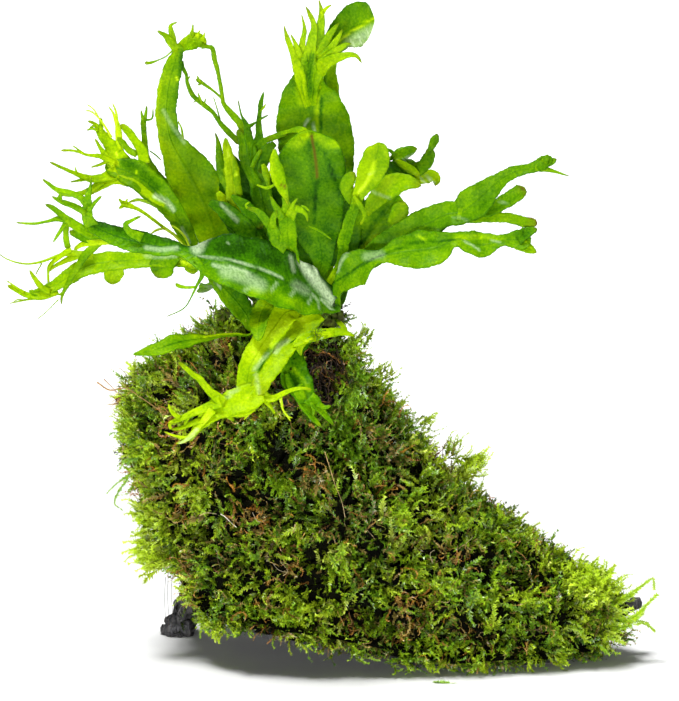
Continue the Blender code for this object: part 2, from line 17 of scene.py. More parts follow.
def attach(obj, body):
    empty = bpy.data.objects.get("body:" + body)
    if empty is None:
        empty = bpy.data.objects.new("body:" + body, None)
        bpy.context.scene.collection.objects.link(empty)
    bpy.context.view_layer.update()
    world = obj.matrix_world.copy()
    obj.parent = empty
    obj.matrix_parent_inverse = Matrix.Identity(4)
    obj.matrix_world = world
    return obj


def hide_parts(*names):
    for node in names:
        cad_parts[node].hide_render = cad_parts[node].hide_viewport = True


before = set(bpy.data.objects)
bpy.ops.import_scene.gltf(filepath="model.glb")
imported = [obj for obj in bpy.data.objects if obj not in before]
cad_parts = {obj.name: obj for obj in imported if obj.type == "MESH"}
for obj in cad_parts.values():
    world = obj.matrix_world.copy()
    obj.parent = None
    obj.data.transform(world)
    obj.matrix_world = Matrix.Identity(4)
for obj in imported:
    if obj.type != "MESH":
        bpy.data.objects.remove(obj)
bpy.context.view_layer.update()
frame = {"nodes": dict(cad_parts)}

MM = 0.001
ORIGIN = np.array((-3.05, 10.65, 0.0))

# Camera: the photograph's viewing angle and framing
CAMERA_TARGET = (1.35, 0.0, 93.4)
CAMERA_DISTANCE = 1.4
CAMERA_ELEVATION = math.radians(12)
FRAME_HEIGHT = 0.2103
SENSOR = 36.0

# Fronds
RHIZOME_START = np.array((-36.0, 1.0, 103.5))
RHIZOME_END = np.array((2.5, -1.0, 103.5))
STALK_FOOT = 3.9
STALK_RISE = 3.5
STALK_HALF_WIDTH = 0.8
LEAF_THICKNESS = 0.3
KEEL = 0.18
SHEET_STEP = 0.72
COLUMN_WIDTH = 0.75
MARGIN_WOBBLE = ((0.4, 0.8), (0.3, 1.9), (0.3, 4.3))
MARGIN_LIMIT = 0.3
RIPPLE_LIMIT = 0.7
TIP_BROWN = 0.4
GLARE = 2.0
STROKE_SHARE = 0.75
ARM_TONE = 0.78

# How places in the photograph become places in the drawing
PIXEL = 0.3
PIXEL_UP = 0.3067
PIXEL_MIDDLE = 335.0
PIXEL_FLOOR = 655.0
LOOK_DOWN = 0.2127

# Studio: the surroundings are dim in front of the object and bright behind it
WORLD_FADE = (-0.8, 0.3, 0.03, 0.15)
SUN_FROM = (-0.25, -0.08, 1.0)
SUN_WIDTH = math.radians(20)
SUN_STRENGTH = 5.0
BOX_HEIGHT = 0.1
FLOOR_GLOW = ((0.1, 0.0), (0.3, 0.4))

# How much narrower the heel leg looks than its solid
HEEL_SQUEEZE = 0.12

# Moss, its counts and millimetres
MOSS_COUNT = 15400
UNDER_SHARE = 0.28
RHIZOME_MOSS = 520
ROOT_MOSS = 240
HEEL_MOSS = 420
CLUMP_COUNT = 620
CLUMP_RADIUS = 5.0
BARE_CLUMPS = 0.02
MOSS_TONE = 0.53
MOSS_DEPTH = 6.0
MAT_DEPTH = 3.8
LEAF_SPACING = 0.45
STEM_WIDTH = 0.22
DEAD_KINDS = 8
DEAD_TONE = 0.2
STRAND_COUNT = 130
TUBE_SIDES = 3
ROOT_COUNT = 520
NEAR_DEPTH = -120.0
TUFT_SINK = 3.5
LONGEST_RAY = 9 * MM
MOSS_SPLITS = (-0.022, 0.018)
MOSS_PIECES = ("moss_front_heel", "moss_front_middle", "moss_front_toe",
               "moss_back_heel", "moss_back_middle", "moss_back_toe")

# Patches of the moss in the photograph: across, down and radius in pixels, with the shift of
# tone for the shades
# The shifts are partly the moss's own colour and partly painted light and shade: mostly deeper in the middle of the
# face and lighter toward the left edge.
MOSS_SHADES = (
    (300, 460, 45, -0.17), (345, 430, 40, -0.15), (260, 520, 40, -0.08), (350, 590, 40, 0.04),
    (175, 395, 40, 0.04), (150, 500, 35, 0.07), (155, 550, 25, 0.12), (480, 500, 40, 0.1),
    (590, 585, 35, 0.0), (540, 615, 60, -0.07), (285, 478, 9, 0.15), (200, 500, 10, 0.12), (330, 610, 40, 0.06),
    (485, 575, 18, -0.15), (440, 520, 25, 0.06),
)
MOSS_BROWN = (
    (228, 482, 9), (179, 509, 9), (313, 472, 9), (327, 528, 7), (259, 520, 12), (285, 569, 15),
    (365, 437, 9), (420, 545, 8), (450, 553, 14), (432, 598, 9), (532, 590, 9), (465, 630, 9),
    (540, 625, 7), (272, 605, 8), (170, 420, 12), (225, 345, 10), (395, 480, 9), (200, 440, 8),
    (355, 620, 9), (230, 400, 9),
)
# Gaps in the moss: across, down and radius in pixels. Shoots there are thinned and sunk, and darkened as painted
# shade.
MOSS_GAPS = (
    (220, 494, 8), (203, 539, 10), (311, 490, 7), (320, 545, 6), (380, 500, 8), (350, 470, 10),
    (486, 566, 8), (300, 590, 8), (545, 600, 7), 
    (520, 575, 4), (440, 560, 7), (585, 612, 6), (150, 430, 6), (290, 430, 8), (180, 540, 7), (240, 575, 7), (400, 590, 6), (165, 590, 7), (262, 440, 9),
    (180, 460, 6),
)

# A strip's side makes one half of it lighter and the other half darker; on front_glossy this is partly painted
# sheen.
Leaf = namedtuple("Leaf", "name look root face tone blade arms strokes")
Strip = namedtuple("Strip", "stations tone side face")
Stroke = namedtuple("Stroke", "tone radius line")


def seen(*stations):
    """Stations from places in the photograph: across and down in pixels, then depth and half
    width in millimetres. They become x, y, z and half width in the drawing."""
    return tuple((PIXEL * (px - PIXEL_MIDDLE), depth,
                  PIXEL_UP * (PIXEL_FLOOR - py) - LOOK_DOWN * depth, half)
                 for px, py, depth, half in stations)


# Strokes from 0 to 2 paint lighter and darker tones, partly the leaves' own streaks and partly painted light and
# shade; strokes of 2 and more paint glare, a painted highlight.
def stroke(tone, radius, *places):
    """Paints a tone along places in the photograph, brown where it is below 0, or glare where
    it is above 2, by how much it is above."""
    line = np.array(places, float)
    return Stroke(tone, radius, np.stack(
        [PIXEL * (line[:, 0] - PIXEL_MIDDLE), PIXEL_UP * (PIXEL_FLOOR - line[:, 1])], 1))


def strip(*stations, tone=0.0, side=0.0, face=None):
    return Strip(seen(*stations), tone, side, face)


LEAVES = (
    Leaf(
        "left_tall", "bright", (-13, -45), (0.15, -0.95, 0.25), 0.58,
        strip((230, 254, 11, 3.4), (216, 234, 12.5, 5.4), (209, 215, 13.5, 6.6),
              (202, 198, 14.3, 7.2), (194, 182, 15, 7.5), (185.5, 167, 15.5, 6.7), (176.5, 152, 16, 4.9),
              (171, 141, 16, 3.7), (167.3, 127, 16, 3.2), (166, 112, 16, 3.2),
              (167.7, 93, 15.5, 3.1), (171, 77, 15, 3), (175.3, 63, 14.5, 2.4),
              (178.7, 52, 14, 1.5), (181, 46, 14, 1), side=0.1),
        (
            strip((178.5, 51, 14, 1.2), (172, 44, 13.5, 1.3), (166, 37, 13, 0.8),
                  (158.5, 32.5, 12, 0.3), tone=0.12),
            strip((175, 48, 14, 1), (172.5, 35, 14, 0.9), (171.5, 27, 14, 0.5),
                  (178, 23.5, 14, 0.2), tone=0.14),
            strip((178, 51, 14, 1.2), (185, 46, 15, 1.9), (193, 42, 16, 2.4), (200, 42, 16.5, 2.2),
                  (206, 46.5, 17, 1), tone=0.08, side=0.1),
            strip((191, 38, 16, 0.8), (193, 31, 16, 0.4), (193.3, 25, 16, 0.2), tone=0.1),
            strip((197, 38, 16, 0.7), (199.3, 33.5, 16, 0.3), (200.5, 31, 16, 0.15), tone=0.3),
            strip((202, 41, 16.5, 0.8), (204, 37, 16.5, 0.4), (205, 33, 16.5, 0.15), tone=0.3),
            strip((202, 46, 16.5, 1), (207.5, 47, 17, 0.6), (212.6, 49, 17, 0.75),
                  (214.7, 59, 17, 0.75), (217.5, 70, 17, 0.65), (220.3, 84, 17, 0.6),
                  (222.4, 97, 17, 0.6), (224, 104, 16.5, 0.7), (233.6, 116, 15, 1.0),
                  (240.6, 124, 13.5, 1.2), (247, 136, 11.5, 1.2), tone=-0.04),
            strip((223, 99, 17, 0.4), (212.6, 90, 17.5, 0.35), (202.8, 83, 18, 0.55),
                  (196, 78.8, 18, 0.7), tone=-0.05),
            strip((201, 82, 18, 0.3), (198, 78, 18, 0.35), (197.5, 75.5, 18, 0.2), tone=0.1),
            strip((201, 82, 18, 0.3), (199.5, 84, 18, 0.35), (197.5, 84.5, 18, 0.2), tone=0.1),
            strip((182, 62, 14.5, 0.6), (183, 68, 15, 0.6), (186.6, 75, 15.5, 0.5),
                  (187.5, 83, 16, 0.55), (193, 95.4, 16, 0.7), (202.8, 103.8, 16, 0.75),
                  (212.6, 112, 15, 0.6), (219.6, 122, 14, 0.7), (229.4, 133, 13, 0.9),
                  (240.6, 144, 11.5, 0.9), tone=-0.12),
            strip((202, 103, 16, 0.4), (199.5, 97, 16, 0.3), (198, 92.6, 16, 0.12), tone=0.1),
            strip((204, 104, 16, 0.3), (206, 98, 16, 0.12), tone=0.1),
            strip((198, 99.5, 16, 0.35), (193, 102.6, 16, 0.12), tone=0.1),
            strip((187.3, 80, 16, 0.3), (190.5, 76, 16, 0.15), tone=0.1),
            strip((213.5, 97, 17, 0.12), (217.5, 110, 16, 0.18), (220.3, 121, 15, 0.3)),
            strip((178, 121, 15, 0.15), (181.7, 129, 14, 0.28), (183, 140, 14, 0.35), tone=0.1),
            strip((174.5, 50, 14, 0.25), (167, 57, 13.5, 0.2), (159.3, 61, 13, 0.2),
                  (150.8, 63.8, 12.5, 0.45), (145.5, 64, 12, 0.55), tone=0.05),
        ),
        (
            stroke(2.35, 0.7, (163, 110), (169, 121), (177, 133), (184, 142)),
            stroke(0.3, 1.1, (183, 55), (181, 75), (178, 95), (177, 112)),
            stroke(0.85, 0.9, (160, 82), (155.5, 105), (157, 130), (162, 150)),
            # Painted light: these two strokes lighten the lower blade, which lies in the shade of the leaves in
            # front of it.
            stroke(0.72, 2.6, (168, 148), (178, 170)),
            stroke(0.75, 1.6, (219, 180), (221, 200), (217, 215)),
            stroke(1.3, 0.4, (176.5, 78), (178, 80)),
        ),
    ),
    Leaf(
        "centre_forked", "mid", (-11, -15), (0.1, -0.95, 0.2), 0.36,
        strip((275, 234, 5, 2.6), (266, 212, 6.5, 3), (261, 192, 7.5, 3.2), (257, 176, 8.5, 2.4),
              (255.5, 162, 9, 1.7), (256, 150, 9.5, 1.6), (259, 138, 10, 1.2), (259, 126, 10.5, 0.9),
              (259.8, 115, 11, 0.6), (261, 104, 11.5, 0.7), (264, 92.5, 12, 0.2)),
        (
            strip((262, 244, 9.5, 7), (252, 218, 11, 8), (243, 196, 12, 7.5), (236, 178, 12.5, 5.5),
                  (230, 160, 12.5, 2.2), (227, 148, 12.5, 0.3), tone=-0.16, side=0.06),
            strip((286, 246, 8, 5), (283, 222, 9, 5.5), (280, 200, 9.5, 4.6), (277, 182, 10, 2.6),
                  (275, 170, 10, 0.4), tone=-0.2, side=-0.06),
            strip((210, 203, 3, 0.8), (222, 209, 2, 2.2), (236, 221, 1, 3), (250, 235, 0, 2.8),
                  (262, 248, -1, 2), tone=-0.08),
            strip((232, 196, 4, 0.5), (241, 203, 3, 1.6), (252, 214, 2, 2), (262, 229, 1, 1.4),
                  tone=-0.02),
            strip((258, 186, 7.5, 1.6), (248, 168, 8.5, 1.6), (244, 154, 9, 1.6),
                  (243, 142, 9.5, 1.3), (238, 130, 10.5, 0.7), tone=0.08),
            strip((254, 158, 9, 1.5), (251, 146, 9.5, 1.5), (248.5, 136, 10, 1.3),
                  (246.5, 125, 10.5, 0.7), (241.5, 115, 11, 0.3), (238.3, 100.5, 12, 0.15)),
            strip((248, 128, 10, 0.8), (256, 123, 10.5, 0.3), (262, 119, 10.5, 0.3),
                  (268.6, 115.6, 10.5, 0.2)),
            strip((260.5, 112, 11, 0.3), (264, 108, 11, 0.3), (266, 104.5, 11, 0.15), tone=0.4),
            strip((259, 148, 9, 1.5), (264, 142, 8, 1), (275, 138.7, 5, 0.8),
                  (288, 135, 1, 0.6), tone=0.12),
            strip((275, 144, 7, 0.8), (268, 151, 7, 1.9), (264, 162, 7.5, 1.7),
                  (261, 174, 8, 1.2), tone=0.0),
            strip((252, 168, 7, 0.6), (256, 160, 7, 0.8), (262, 150, 7, 0.5), tone=0.2),
            strip((218, 192, 9, 0.6), (226, 204, 8, 2.2), (237, 219, 7.5, 2.6),
                  (248, 232, 7, 2), tone=0.62),
            strip((263, 165, 5, 0.5), (266, 172, 4.5, 1.1), (268, 182, 4, 0.8),
                  (270, 190, 4, 0.3), tone=0.35),
        ),
        (
            stroke(2.5, 0.7, (222, 205), (238, 222)),
            stroke(0.1, 1.2, (262, 215), (258, 235)),
        ),
    ),
    Leaf(
        "left_antler", "bright", (-20, -5), (0, -0.85, 0.5), 0.5,
        strip((240, 262, -3, 1.6), (216, 260, -3, 1.6), (198, 254, -1, 1.9), (188, 236, 0.5, 2.4),
              (177, 216, 1.5, 3), (166, 201, 2.5, 3.6), (152, 187, 3.2, 4.2), (138, 176, 4, 4.4),
              (124, 170, 5, 3.8), (112, 168, 6, 2.4), (106, 167, 6, 1.2)),
        (
            strip((166, 206, 1, 0.8), (155, 200, 1.5, 1), (143, 190, 2.5, 1.3),
                  (130, 183, 3.2, 1.5), (118, 180, 4, 1.5), (107, 184, 4.5, 1.3),
                  (97, 189, 5, 1.1), (88, 195, 5, 0.8), tone=0.32),
            strip((128, 167, 6, 2.2), (118, 155, 8, 2.4), (108, 142, 10, 1.8),
                  (101, 132.5, 11.5, 1.3), (95.5, 124.5, 12, 0.6), (88.4, 121, 12.5, 0.35),
                  tone=0.3),
            strip((101.5, 134, 11.5, 0.8), (101.5, 124, 12, 0.6), (100.5, 118, 12, 0.5), tone=0.3),
            strip((99, 131, 11.5, 0.6), (93, 129, 11.5, 0.35), (87, 130.4, 11.5, 0.25), tone=0.3),
            strip((96, 125.5, 12, 0.5), (92, 127, 12, 0.3), (89, 130, 12, 0.2), tone=0.3),
            strip((122, 150, 8.5, 1), (119.5, 137, 10, 1.1), (118, 126, 11, 0.8),
                  (114, 114, 12, 0.35), (109, 106.5, 12.3, 0.15), tone=0.6),
            strip((118, 124, 11.5, 0.4), (116.5, 112, 12, 0.3), (113, 103.5, 12, 0.15), tone=0.65),
            strip((112, 138, 10.5, 0.4), (105, 126, 11, 0.3), (98, 117, 11.5, 0.25),
                  (92, 112, 11.5, 0.22), (86.5, 111, 11.5, 0.15), tone=0.7),
            strip((99, 117.5, 11.5, 0.25), (94.5, 110, 11.5, 0.18), (88, 105, 11.5, 0.12),
                  tone=0.7),
            strip((145, 164, 5.5, 1.6), (142.5, 151, 7, 1.6), (136, 141.5, 8, 1.2),
                  (128, 131, 9, 1.2), (121.5, 125, 9.5, 0.6), tone=0.3),
            strip((138, 155, 7, 1.1), (130, 151, 8, 1), (123, 143, 9, 0.9), (118, 138, 9.5, 0.5),
                  tone=0.15),
            strip((120, 172, 5.8, 1.8), (112, 164, 6.3, 1.4), (103.5, 152, 7, 0.75),
                  (96, 139.4, 7.5, 0.3), tone=0.28),
            strip((116, 166, 6, 1.3), (103, 157.5, 6.2, 0.8), (89, 155.8, 6, 0.45),
                  (76, 151.8, 5.5, 0.35), (62.5, 151.3, 5, 0.35), tone=0.35),
            strip((86, 155.2, 6, 0.3), (79.5, 150.5, 6, 0.25), (74, 146.4, 6, 0.2), tone=0.35),
            strip((108, 162, 6, 0.6), (100, 165.6, 6, 0.4), (91.5, 168, 6, 0.15), tone=0.35),
            strip((118, 172, 5, 2.2), (105, 178, 4.8, 1.6), (92, 179.5, 4.5, 1.1),
                  (80, 175.5, 4, 0.8), (69, 171, 3.5, 0.5), (60, 167, 3, 0.45),
                  (52, 163.3, 2.5, 0.35), tone=0.28),
            strip((79, 175, 4, 0.4), (77.3, 171, 4, 0.25), (77, 167.5, 4, 0.1), tone=0.3),
            strip((90, 179, 4.3, 0.7), (79, 181.3, 4, 0.4), (71.3, 182.8, 4, 0.15), tone=0.3),
            strip((104, 182, 4.5, 1.2), (92, 190, 4, 1), (81, 194, 3.5, 0.75), (70, 195.5, 3, 0.65),
                  (60.5, 193, 2.5, 0.5), (54, 187, 2, 0.45), (48.2, 182.3, 2, 0.35), tone=0.28),
            strip((64, 195, 3, 0.45), (60, 198, 3, 0.4), (57, 200, 3, 0.25), tone=0.28),
        ),
        (
            stroke(2.8, 0.9, (156, 197), (167, 202), (174, 210)),
            stroke(2.5, 0.5, (182, 228), (190, 243)),
            stroke(0.2, 1.8, (126, 163), (143, 172), (156, 188)),
            stroke(1.2, 0.5, (137, 171), (138, 173)),
            stroke(1.2, 0.5, (117, 154), (118, 156)),
        ),
    ),
    Leaf(
        "left_spike", "mid", (-16, -70), (0, -0.9, 0.4), 0.52,
        strip((241, 250, 15.5, 1.6), (215, 230, 19, 1.8), (188, 209, 22, 2), (165, 187, 19.5, 2),
              (153, 172, 17.5, 1.7), (146.5, 160, 16.5, 1.2), (144.5, 147, 16, 1),
              (143.8, 133, 15.3, 0.8), (143.5, 122, 15, 0.85), (143, 117, 14.8, 0.5)),
        (
            strip((143.5, 123, 14.8, 0.6), (142, 115, 14.5, 0.4), (141.2, 110.3, 14.5, 0.2)),
            strip((144, 122, 14.8, 0.6), (146, 113, 14.5, 0.45), (146.8, 105.8, 14.5, 0.2)),
            strip((145.5, 120, 14.8, 0.35), (150, 119.5, 14.8, 0.3), (152.5, 117, 14.8, 0.28),
                  (153, 108, 14.8, 0.12)),
            strip((149, 150, 16, 0.15), (156, 155, 16, 0.2), (161, 160, 16, 0.2)),
        ),
        (),
    ),
    Leaf(
        "front_glossy", "dark", (-1.7, 40), (-0.05, -0.9, 0.44), 0.26,
        strip((334, 307, -9, 2.4), (327, 299, -11, 5.4), (310, 291, -14, 8), (290, 282, -18, 9.2),
              (268, 272.5, -21, 9.4), (247, 266, -23, 9), (228, 261, -23.5, 8), (212, 259, -23.5, 6.4),
              (200, 257, -23, 3.6), (190, 254, -22, 2.1), (178, 250.5, -21, 2.3),
              (163, 248, -20.5, 3), (148, 245, -20, 3.4), (133, 241.5, -19, 3.4),
              (118, 237, -18, 3), (104, 231.5, -17.5, 2.3), (92, 226, -17, 1.6), side=0.2,
              face=((0.25, -0.72, 0.62), (0, -0.9, 0.44))),
        (
            strip((146, 240, -20, 1.6), (134, 234, -20, 1), (130, 227, -20, 0.8),
                  (137, 222.5, -20.5, 0.5), (145, 219, -21, 0.25), tone=0.3),
            strip((98, 231, -17, 1.9), (92.5, 220, -17.5, 1.7), (92, 208, -18, 1.4),
                  (93.5, 198, -18.5, 0.9), (95.5, 190, -19, 0.45), (96.7, 180.5, -19, 0.15),
                  tone=0.28),
            strip((92.5, 214, -18, 0.9), (98.5, 206.5, -18.5, 0.6), (106.5, 199, -19, 0.3),
                  tone=0.28),
            strip((92.5, 208, -18, 1.1), (84, 199.5, -18, 0.95), (74, 195.5, -18, 0.9),
                  (63, 193, -18, 0.7), (55, 187.5, -18, 0.5), (48.8, 182.5, -18, 0.3), tone=0.35),
            strip((91, 215, -18, 1.2), (78, 208.5, -17.5, 0.9), (67, 204.5, -17, 0.7),
                  (57.2, 199.3, -16.5, 0.3), tone=0.35),
            strip((67, 194, -17.5, 0.5), (65.5, 199, -17.2, 0.5), (67, 204, -17, 0.5), tone=0.35),
            strip((98, 237, -17, 1.8), (84, 230, -16.5, 1.4), (74, 223.5, -16, 1.3),
                  (64, 215, -16, 0.9), (57, 210, -16, 0.7), (50.8, 207, -16, 0.45), tone=0.3),
            strip((75, 223, -16, 1.1), (64, 221, -16, 0.9), (54, 223.2, -17, 0.45),
                  (39, 226, -18, 0.4), (22.6, 225, -19, 0.22), tone=0.42),
            strip((71, 224, -16, 0.9), (66, 232, -17, 0.6), (61.5, 239, -18, 0.4),
                  (58.3, 244.5, -18, 0.15), tone=0.38),
            strip((71, 222, -15, 1), (70, 236, -14, 0.85), (71.5, 250, -12, 1), tone=0.4),
            strip((116, 243, -17, 1), (98, 244.5, -16, 0.9), (86, 246, -15, 0.8),
                  (78, 251, -14, 0.6), tone=0.75),
            strip((110, 241, -16, 1.6), (96, 241, -15, 1.5), (84, 238, -15, 1.1),
                  (74, 233, -15, 0.8), tone=0.25),
            strip((197, 259, -24, 0.8), (204, 268, -24.5, 0.9), (205, 277, -24.5, 0.7),
                  (200, 286, -24, 0.4), (193, 300, -23, 0.2), (186, 309.5, -23, 0.15),
                  (169.5, 317.2, -22.5, 0.1), tone=0.2),
            strip((200, 288, -23.7, 0.4), (191, 288.6, -23, 0.4), (182, 287.2, -23, 0.6),
                  (179, 284.5, -23, 0.4), tone=0.4),
        ),
        (
            stroke(2.55, 2.2, (211, 233), (204, 241), (200, 251)),
            stroke(2.95, 1.2, (299, 252), (303, 262)),
            stroke(2.75, 1.8, (302, 262), (309, 274), (319, 285), (331, 302)),
            stroke(2.9, 0.6, (313, 262), (318, 278), (328, 296)),
            stroke(2.9, 0.5, (297, 254), (306, 268), (316, 282)),
            stroke(0.1, 0.6, (286, 256), (292, 270), (300, 284)),
            stroke(2.4, 2.4, (228, 273), (246, 279), (262, 287)),
            stroke(0.5, 1.4, (250, 290), (275, 297), (300, 304)),
            stroke(0.05, 2.0, (222, 250), (250, 250), (276, 262)),
            stroke(2.4, 0.8, (291, 258), (294, 272)),
            stroke(2.5, 1.6, (306, 270), (314, 283), (322, 292)),
            stroke(2.3, 1.8, (296, 286), (306, 292)),
            stroke(2.6, 0.35, (201, 258), (228, 261.5), (258, 268), (283, 279)),
            stroke(2.4, 0.9, (150, 250), (165, 252), (180, 250)),
            stroke(2.45, 0.8, (216, 267), (229, 270)),
            stroke(2.6, 0.8, (232, 269), (246, 273), (252, 277)),
            stroke(2.45, 0.5, (246, 292), (257, 286)),
            stroke(2.4, 0.5, (272, 292), (278, 284)),
            stroke(2.45, 0.5, (291, 297), (298, 288)),
            stroke(2.45, 0.45, (308, 305), (313, 295), (318, 302), (319, 309)),
            stroke(2.6, 0.45, (321, 300), (331, 310)),
            stroke(2.8, 0.2, (230, 244), (231, 245)),
            stroke(2.8, 0.2, (240, 240), (241, 241)),
            stroke(2.8, 0.2, (252, 247), (253, 248)),
            stroke(2.8, 0.2, (262, 256), (263, 257)),
        ),
    ),
    Leaf(
        "left_lower", "bright", (-13, 35), (0, -0.85, 0.5), 0.6,
        strip((250, 275, -8, 2.4), (225, 268, -9, 2.6), (205, 263, -9.5, 2.8), (188, 260.5, -10, 2.6),
              (172, 259.5, -10, 2.8), (155, 260, -10, 2.6), (139, 261, -10, 2.5),
              (122, 261.5, -9.5, 2.9), (106, 263, -9, 3.1), (92, 266, -9, 3), (80, 272, -9.5, 2.7),
              (69, 279, -10, 2.3), (58, 286, -10, 1.9), (47, 291.5, -10.5, 1.5),
              (38, 293, -11, 1), (32.5, 291, -11, 0.5), tone=0.05),
        (
            strip((180, 257, -10.8, 1.4), (169, 262, -11.3, 3.4), (163, 270, -11.5, 3.7),
                  (158.5, 278, -11.5, 1.6), tone=-0.14),
            strip((192, 262, -10.5, 1.4), (194, 268, -11, 2.4), (195, 275, -11, 1.2), tone=0.05),
            strip((120, 264, -9.8, 2), (116.5, 272, -10.2, 3.2), (115, 280, -10.4, 2.4),
                  (114.5, 285, -10.4, 0.9), tone=0.12),
            strip((74, 250, -9, 1), (62, 258, -8.5, 0.75), (53, 266, -8.5, 0.55),
                  (51, 275, -9, 0.4), (52, 288, -9.5, 0.35), tone=0.2),
            strip((96, 256, -9, 1.2), (80, 256.5, -8.5, 1.3), (68, 261.5, -8.5, 0.8),
                  (56, 268, -8.5, 0.5), (51, 272, -8.5, 0.4), tone=0.22),
            strip((92, 258, -8.5, 1.2), (75, 254, -8, 1), (61, 256.5, -8, 0.5),
                  (43, 263, -9, 0.35), (28, 264.6, -9.5, 0.25), (13, 261, -10, 0.18),
                  (2.5, 254.8, -10, 0.1), tone=0.2),
            strip((45, 264, -9, 0.2), (41.5, 270, -9, 0.15), (38.5, 275.5, -9, 0.15), tone=0.1),
            strip((104, 244, -12, 0.8), (98, 248, -12, 1.1), (89, 256, -12.5, 1.2),
                  (80, 269, -13, 1), (71.6, 284, -13.5, 0.75), (66, 295, -13.8, 0.45),
                  (64.6, 305, -14, 0.2), tone=-0.06),
            strip((67.5, 292, -13.7, 0.4), (63.5, 295, -13.7, 0.3), (60.5, 294.5, -13.7, 0.2),
                  tone=0.0),
            strip((62, 300, -14, 0.14), (50, 312, -14, 0.1), (41, 319.2, -14, 0.08), tone=0.1),
            strip((60, 290, -10.5, 1.5), (47, 296, -11.5, 1.3), (33, 296, -11.5, 1),
                  (22, 291.5, -11.5, 0.8), (11.2, 285.8, -11, 0.45), tone=0.25),
            strip((54, 293, -11, 1.1), (45, 288, -11.3, 0.9), (38, 278.5, -11.5, 0.65),
                  (33.4, 271.2, -11.5, 0.3), tone=0.22),
            strip((58, 294, -11, 0.8), (46, 298.5, -11.5, 0.55), (36, 299.5, -11.5, 0.3),
                  (26, 301, -11.5, 0.25), (12.5, 303.8, -11, 0.1), tone=0.3),
            strip((28, 294, -11.5, 0.4), (20, 288, -11.5, 0.3), (10, 281, -11.5, 0.12), tone=0.3),
            strip((27, 300.5, -11.5, 0.2), (21, 300, -11.5, 0.15), (17, 302, -11.5, 0.1),
                  tone=0.3),
        ),
        (
            stroke(2.4, 0.8, (148, 257), (162, 258), (178, 257)),
            stroke(1.1, 0.6, (184, 263), (192, 266)),
        ),
    ),
    Leaf(
        "centre_broad", "bright", (-6.8, 10), (0.05, -0.97, 0.2), 0.36,
        strip((322, 262, -7, 3), (319, 240, -8.5, 6), (317, 220, -10, 7.8), (315, 200, -11, 9),
              (313, 182, -12, 9.8), (311.5, 166, -12, 10), (310, 152, -11.5, 8.8),
              (308.5, 142, -11, 5.8), (307.5, 134, -10.5, 2.8), side=0.03),
        (
            strip((309, 142, -11, 2), (301, 134, -10, 1.2), (290, 134.5, -8, 0.6),
                  (280, 137, -5, 0.6), (268, 141, 0, 0.8), tone=0.22),
            strip((276, 153, -14, 0.4), (276, 165, -15, 1.6), (279, 178, -16, 2.1),
                  (283, 190, -17, 1.7), (287, 200, -17.5, 0.8), (289.3, 207.5, -17.5, 0.2),
                  tone=0.4, side=-0.12),
            strip((298, 276, -5, 2), (303, 258, -5.5, 3.6), (306, 240, -6, 3), (307, 226, -6.5, 1),
                  tone=-0.16),
        ),
        (
            stroke(0.05, 0.5, (325, 156), (332, 174), (341, 197)),
            stroke(0.74, 2.6, (286, 143), (297, 146), (306, 138)),
            stroke(0.74, 2, (318, 140), (328, 147), (337, 147)),
            stroke(-1, 0.5, (312, 138), (315, 158), (317, 180)),
            stroke(0.1, 0.6, (317, 185), (314, 225)),
            stroke(-1, 0.5, (283, 188), (286, 190)),
            stroke(0.2, 2, (300, 235), (310, 240)),
        ),
    ),
    Leaf(
        "top_broad", "mid", (-6.8, -60), (0, -1, 0.1), 0.5,
        strip((321.7, 240, 6, 4.5), (320, 212, 7.5, 7), (319, 190, 9, 9), (318, 172, 10, 10.6),
              (317, 155, 11, 11.2), (315.5, 138, 11.5, 11.3), (312.5, 122, 12, 11),
              (309.5, 105, 12, 9.6), (307.5, 92, 11.5, 7.4), (308, 79, 11, 4.6), (309.5, 68, 10, 3.2),
              (311, 58, 9.5, 2.8), (313, 48, 9, 2), side=0.0),
        (
            strip((309, 116, 15, 0.3), (305, 98, 12.4, 1.1), (300, 76, 9.5, 1.8), (295, 60, 8.5, 1.1), (288.5, 43, 8, 0.75),
                  (284.5, 28.5, 8, 0.15), tone=0.34),
            strip((300, 60, 8.5, 1.4), (296.5, 48, 8.3, 0.7), (291, 36.6, 8.2, 0.15), tone=0.34),
            strip((302, 64, 9, 1.8), (302.5, 46, 8.7, 1.0), (304.8, 32, 8.5, 0.55),
                  (302, 17.3, 8.5, 0.15), tone=0.3),
            strip((312, 114, 15, 0.3), (308, 94, 11.8, 1.5), (309, 66, 9, 2.3), (311.5, 46, 8.6, 1.5), (314.5, 30, 8.5, 1.0),
                  (310.3, 18, 8.5, 0.6), (306, 9.4, 8.5, 0.1), tone=0.24),
            strip((316, 114, 15, 0.3), (313, 92, 11.6, 1.5), (317, 68, 9, 2.5), (319, 50, 8.8, 1.9), (320.5, 32, 9, 1.3),
                  (321.7, 16, 9.5, 0.8), (319, 2.6, 9.8, 0.12), tone=0.18),
            strip((320, 20, 9.5, 0.7), (326, 11.5, 9.5, 0.5), (331.8, 7.8, 9.5, 0.15), tone=0.42),
            strip((320, 58, 8.5, 1.6), (326, 44, 8, 1.3), (333, 33, 7.5, 0.8), (339, 26, 7, 0.2),
                  tone=0.2),
            strip((322, 62, 8.2, 1.6), (331, 51, 7, 1.2), (338, 41, 6, 0.7), (342, 33, 5.5, 0.2),
                  tone=0.24),
            strip((316, 90, 12, 1.4), (318, 74, 9.4, 2.3), (325, 66, 7.5, 1.9), (337, 60.5, 5.5, 1.4), (347, 58, 4.5, 0.9),
                  (356, 59, 3.5, 0.6), (361.5, 66, 3, 0.12), tone=0.24),
            strip((321, 66, 8, 1.6), (334, 55, 6.5, 1.2), (345, 48, 5.5, 0.7), (351, 47, 5, 0.2),
                  tone=0.26),
        ),
        (
            stroke(2.7, 0.5, (303, 129), (308, 119)),
            stroke(2.6, 0.45, (312, 124), (316, 134)),
